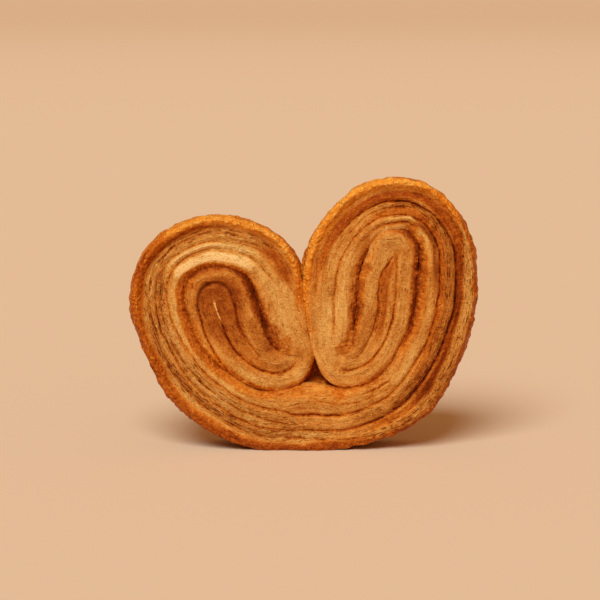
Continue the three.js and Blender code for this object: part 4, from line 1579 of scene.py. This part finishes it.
@dataclass(frozen=True)
class LayerSplits:
    """The seams between layers, the dashes and pits of the crumb, and the stain in the valleys."""

    beads: Streaks = Streaks((1.25, 0.5, 1.0), 5.0)
    breaks: Streaks = Streaks((0.9, 0.15, 1.0), 8.0, 1.0)
    break_limits: Pair = (0.36, 0.6)
    unbroken: float = 0.25  # share of a seam that is left in its breaks
    seam_width: float = 0.3
    seam_wander: float = 0.22
    seam_rise: float = -0.5
    seam_bake: float = 0.44
    glow_limits: Pair = (0.85, 0.1)  # mm from a seam where caramel shows
    glow_bake: float = 0.26
    dashes: tuple[tuple[Streaks, Streaks], ...] = (
        (Streaks((0.36, 2.1, 1.0), 13.0, 1.0), Streaks((0.3, 0.6, 1.0), 16.0, rough=0.7)),
        (Streaks((0.7, 3.6, 1.0), 47.0, 1.0), Streaks((0.3, 0.6, 1.0), 50.0, rough=0.7)),
    )  # the dashes, and where they show
    dash_flake: float = 0.4
    dash_shown: Pair = (0.5, 0.9)
    dash_limits: Pair = (0.61, 0.67)
    dash_marks: Pair = (-0.2, 0.23)  # height in mm and browning
    flake_limits: Pair = (0.4, 0.3)
    flake_marks: Pair = (0.13, -0.17)
    specks: Streaks = Streaks((2.3, 2.6, 1.0), 71.0, 1.0)
    speck_limits: Pair = (0.36, 0.28)
    speck_bake: float = -0.12
    pit_limits: Pair = (0.66, 0.73)
    pit_marks: Pair = (-0.08, 0.15)
    ragged: Streaks = Streaks((1.1, 0.9, 1.0), 3.0, 3.0, 0.6)
    ragged_reach: Pair = (2.0, -0.3)
    stain_edge: float = 0.1
    stains: tuple[Pair, ...] = ((1.6, 0.36), (3.52, 0.24))  # reach in mm and browning

    def group(self) -> bpy.types.NodeTree:
        """The node group that gives the splits' height in mm, the browning that they add, and their caramel.

        Returns:
            The group's tree.
        """
        inputs = {"Grain": "Vector", "Splits": "Vector", "Edges": "Vector", "Flake": "Float"}
        nodes, start, end = new_group("layer splits", inputs, ("Height", "Browning", "Caramel"))
        grain, flake = start.outputs["Grain"], start.outputs["Flake"]
        split, depth, bake = nodes.parts(start.outputs["Splits"])
        crust, stained, edge = nodes.parts(start.outputs["Edges"])
        crumbly = nodes.math("SUBTRACT", 1.0, crust, clamp=True)

        distance = nodes.more(split, nodes.centred(self.beads.on(nodes, grain)), 2 * self.seam_wander)
        distance = nodes.math("ABSOLUTE", distance)
        whole = nodes.between(self.breaks.on(nodes, grain), *self.break_limits)
        whole = nodes.more(self.unbroken, whole, 1 - self.unbroken)
        seam = nodes.product(nodes.between(distance, self.seam_width, 0.0), whole)
        glow = nodes.product(nodes.between(distance, *self.glow_limits), nodes.math("MAXIMUM", bake, 0.0))
        height = nodes.product(seam, nodes.product(depth, self.seam_rise))
        browning = nodes.product(seam, nodes.product(bake, self.seam_bake))
        browning = nodes.more(browning, glow, self.glow_bake)

        kinds = ((self.dash_limits, self.dash_marks), (self.flake_limits, self.flake_marks))
        for streaks, patches in self.dashes:
            layers, where = streaks.on(nodes, grain), patches.on(nodes, grain)
            shown = nodes.between(nodes.more(where, flake, self.dash_flake), *self.dash_shown)
            shown = nodes.product(shown, crumbly)
            for limits, (rise, brown) in kinds:
                mark = nodes.product(nodes.between(layers, *limits), shown)
                height, browning = nodes.more(height, mark, rise), nodes.more(browning, mark, brown)

        specks = self.specks.on(nodes, grain)
        browning = nodes.more(browning, nodes.between(specks, *self.speck_limits), self.speck_bake)
        pits, (rise, brown) = nodes.product(nodes.between(specks, *self.pit_limits), crumbly), self.pit_marks
        height, browning = nodes.more(height, pits, rise), nodes.more(browning, pits, brown)

        ragged, (more, less) = self.ragged.on(nodes, grain), self.ragged_reach
        for reach, brown in self.stains:
            limit = nodes.more(less * reach, ragged, more * reach)
            stain = nodes.product(nodes.between(edge, limit, self.stain_edge), stained)
            browning = nodes.more(browning, stain, brown)
        for socket, value in (("Height", height), ("Browning", browning), ("Caramel", glow)):
            nodes.link(value, end.inputs[socket])
        return nodes.tree


@dataclass(frozen=True)
class BakedSurface:
    """The fine relief of crumb and crust, below what the mesh holds. Heights are mm."""

    threads: Streaks = Streaks((0.6, 2.6, 1.0), 11.0, 3.0, 0.6)
    thread_rise: float = 0.16
    crumbs: tuple[Pair, ...] = ((1900.0, 0.26), (1200.0, 0.2))  # scale and height
    crumb_rough: float = 0.6
    bubble_scale: float = 820.0
    bubble_smoothness: float = 0.6
    bubble_rise: float = -0.7
    # Painted shade and highlight: browning that darkens the crust between the blisters and lightens their
    # tops.
    bubble_bake: float = 0.24
    bubble_level: float = 0.4
    patch_scale: float = 190.0
    patch_limits: Pair = (0.36, 0.62)
    patch_least: float = 0.25
    wrinkle_scale: float = 1100.0
    wrinkle_detail: float = 3.0
    wrinkle_rough: float = 0.55
    wrinkle_rise: float = 0.4
    sugar_scale: float = 1250.0
    sugar_limits: Pair = (0.54, 0.66)
    sugar_least: float = 0.2
    sugar_rise: float = 0.18
    sugar_bake: float = -0.16

    def group(self) -> bpy.types.NodeTree:
        """The node group that gives a height for a Bump node, in mm, and browning: painted shade between the
        blisters and painted highlight on their tops, with paler sugar grains.

        Returns:
            The group's tree.
        """
        inputs = {"Grain": "Vector", "Place": "Vector", "Flake": "Float", "Crust": "Float"}
        nodes, start, end = new_group("baked surface", inputs, ("Height", "Browning"))
        grain, place, flake, crust = (start.outputs[name] for name in inputs)
        flaky = nodes.more(self.thread_rise / 2, flake, self.thread_rise)
        flaky = nodes.product(flaky, nodes.math("SUBTRACT", 1.0, crust))
        height = nodes.product(self.threads.on(nodes, grain), flaky)
        for scale, rise in self.crumbs:
            height = nodes.more(height, nodes.noise(place, scale, rough=self.crumb_rough), rise)

        sizes = {"Scale": self.bubble_scale, "Smoothness": self.bubble_smoothness}
        bubbles = nodes.add("TexVoronoi", {"feature": "SMOOTH_F1"}, Vector=place, **sizes).outputs["Distance"]
        wrinkles = nodes.noise(place, self.wrinkle_scale, self.wrinkle_detail, self.wrinkle_rough)
        skin = nodes.more(nodes.product(bubbles, self.bubble_rise), wrinkles, self.wrinkle_rise)
        height = nodes.more(height, skin, crust)
        patches = nodes.between(nodes.noise(place, self.patch_scale), *self.patch_limits)
        patches = nodes.more(self.patch_least, patches, 1 - self.patch_least)
        # Painted shade between the blisters and painted highlight on their tops.
        gaps = nodes.product(nodes.math("SUBTRACT", bubbles, self.bubble_level), crust)
        browning = nodes.product(nodes.product(gaps, patches), self.bubble_bake)

        sugar = nodes.between(nodes.noise(place, self.sugar_scale, 1.0), *self.sugar_limits)
        sugar = nodes.product(sugar, nodes.more(self.sugar_least, crust, 1 - self.sugar_least))
        nodes.link(nodes.more(height, sugar, self.sugar_rise), end.inputs["Height"])
        nodes.link(nodes.more(browning, sugar, self.sugar_bake), end.inputs["Browning"])
        return nodes.tree


@dataclass(frozen=True)
class PastryFinish:
    """The baked pastry's material."""

    browning: OvenBrowning = OvenBrowning()
    splits: LayerSplits = LayerSplits()
    surface: BakedSurface = BakedSurface()
    dry_roughness: float = 0.85
    caramel_roughness: float = 0.44
    darkest: float = 0.81
    darkest_blend: float = 0.15
    specular: float = 0.18
    specular_tint: Colour = (255, 200, 140)
    glow: float = 0.1
    glow_reach: Scale = (1.0, 0.45, 0.2)

    def material(self) -> bpy.types.Material:
        """The material, from groups for colour and fine relief.

        Returns:
            The material, with its constants on the shader.
        """
        material, nodes, shader = new_material("baked pastry")
        bake, glaze, flake = nodes.parts(nodes.attribute("baking"))
        edges, grain, marks = (nodes.attribute(name) for name in ("edges", "grain", "splits"))
        crust, place = nodes.parts(edges)[0], nodes.add("TexCoord").outputs["Object"]

        def group(tree: bpy.types.NodeTree, **inputs: Socket) -> bpy.types.NodeInputs:
            """Place a group and give its outputs."""
            return nodes.add("Group", {"node_tree": tree}, **inputs).outputs

        splits = group(self.splits.group(), Grain=grain, Splits=marks, Edges=edges, Flake=flake)
        relief = group(self.surface.group(), Grain=grain, Place=place, Flake=flake, Crust=crust)
        browning = nodes.math("ADD", nodes.math("ADD", bake, splits["Browning"]), relief["Browning"])
        browning = nodes.math("SMOOTH_MIN", browning, self.darkest, self.darkest_blend)
        caramel = nodes.math("ADD", glaze, splits["Caramel"], clamp=True)
        colour = group(self.browning.group(), Browning=browning, Caramel=caramel, Grain=grain, Place=place)
        height = nodes.math("ADD", relief["Height"], splits["Height"])
        roughness = nodes.more(self.dry_roughness, glaze, self.caramel_roughness - self.dry_roughness)
        nodes.link(colour["Color"], shader.inputs["Base Color"])
        nodes.link(roughness, shader.inputs["Roughness"])
        bump = nodes.add("Bump", Height=height, Strength=1.0, Distance=MM)
        nodes.link(bump.outputs[0], shader.inputs["Normal"])
        shader.inputs["Specular IOR Level"].default_value = self.specular
        shader.inputs["Specular Tint"].default_value = linear(self.specular_tint)
        shader.inputs["Subsurface Weight"].default_value = self.glow
        shader.inputs["Subsurface Scale"].default_value = MM
        shader.inputs["Subsurface Radius"].default_value = self.glow_reach
        return material


# ---------------------------------------------------------------- surroundings
@dataclass(frozen=True)
class Studio:
    """Wide pale floor, soft lights and the camera. Lengths are metres, angles degrees."""

    floor_colour: Colour = (217, 190, 161)
    # Painted fall-off of light: the floor is made darker further away.
    far_colour: Colour = (208, 178, 146)
    far_from: float = 1.0
    far_to: float = 6.0
    floor_reach: float = 16.0
    floor_roughness: float = 0.9
    fibre_scale: float = 900.0
    fibre_strength: float = 0.15
    fibre_rise: float = 0.0002
    aim: tuple[float, float, float] = (-0.001, -0.0085, 0.0426)
    distance: float = 0.6
    elevation: float = 8.5
    frame_width: float = 0.165
    sensor: float = 36.0
    key_power: float = 3.16
    key_softness: float = 32.0
    key_elevation: float = 48.0
    key_azimuth: float = -16.0
    key_colour: Colour = (240, 252, 255)
    room_colour: Colour = (255, 190, 128)
    room_power: float = 0.46

    def build_floor(self) -> bpy.types.Object:
        """The floor, whose colour darkens a little with the distance as painted fall-off of the light.

        Returns:
            The floor's object.
        """
        reach = self.floor_reach
        corners = [(-reach, -reach, 0.0), (reach, -reach, 0.0), (reach, reach, 0.0), (-reach, reach, 0.0)]
        data = bpy.data.meshes.new("studio_floor")
        data.from_pydata(corners, [], [(0, 1, 2, 3)])
        floor = bpy.data.objects.new("studio_floor", data)
        bpy.context.scene.collection.objects.link(floor)
        material, nodes, shader = new_material("pale floor")
        place = nodes.add("TexCoord").outputs["Object"]
        fibres = nodes.noise(place, self.fibre_scale)
        bump = nodes.add("Bump", Height=fibres, Strength=self.fibre_strength, Distance=self.fibre_rise)
        away = nodes.add("VectorMath", {"operation": "LENGTH"}, i0=place).outputs["Value"]
        far = nodes.between(away, self.far_from, self.far_to)
        colour = nodes.mix(far, linear(self.floor_colour), linear(self.far_colour))
        nodes.link(bump.outputs[0], shader.inputs["Normal"])
        nodes.link(colour, shader.inputs["Base Color"])
        shader.inputs["Roughness"].default_value = self.floor_roughness
        shader.inputs["Specular IOR Level"].default_value = 0.0
        data.materials.append(material)
        return floor

    def build_sun(self) -> None:
        """The soft key light, from above, in front and a little to the left."""
        data = bpy.data.lights.new("key light", "SUN")
        data.energy, data.angle = self.key_power, math.radians(self.key_softness)
        data.color = linear(self.key_colour)[:3]
        light = bpy.data.objects.new("key light", data)
        up, side = math.radians(self.key_elevation), math.radians(self.key_azimuth)
        place = Vector((math.sin(side) * math.cos(up), -math.cos(side) * math.cos(up), math.sin(up)))
        light.rotation_euler = place.to_track_quat("Z", "Y").to_euler()
        bpy.context.scene.collection.objects.link(light)

    def build_camera(self) -> None:
        """The camera, straight in front of the pastry and a little above it."""
        data = bpy.data.cameras.new("camera")
        data.sensor_width = self.sensor
        data.lens = self.sensor * self.distance / self.frame_width
        camera = bpy.data.objects.new("camera", data)
        angle = math.radians(self.elevation)
        back = Vector((0, -math.cos(angle), math.sin(angle)))
        camera.location = Vector(self.aim) + self.distance * back
        camera.rotation_euler = (-back).to_track_quat("-Z", "Y").to_euler()
        bpy.context.scene.collection.objects.link(camera)
        bpy.context.scene.camera = camera

    def build(self) -> None:
        """Floor, lights, sky and camera."""
        floor = self.build_floor()
        self.build_sun()
        world = bpy.data.worlds.new("soft room")
        world.use_nodes = True
        background = world.node_tree.nodes["Background"]
        background.inputs["Color"].default_value = linear(self.room_colour)
        background.inputs["Strength"].default_value = self.room_power
        bpy.context.scene.world = world
        bpy.context.scene.view_settings.view_transform = "Standard"
        self.build_camera()
        log.info("%s, lights and camera in place", floor.name)


def main() -> None:
    """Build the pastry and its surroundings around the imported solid."""
    logging.basicConfig(level=logging.INFO, format="%(name)s: %(message)s")
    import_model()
    sheet = RolledSheet()
    pastry = sheet.build()
    sheet.dress(pastry, PastryFinish())
    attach(pastry, BODY)
    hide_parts(NODE)
    triangles = sum(len(p.vertices) - 2 for p in pastry.data.polygons)
    log.info("%s: %d triangles", pastry.name, triangles)
    Studio().build()
    bpy.context.view_layer.update()


if __name__ == "__main__":
    main()
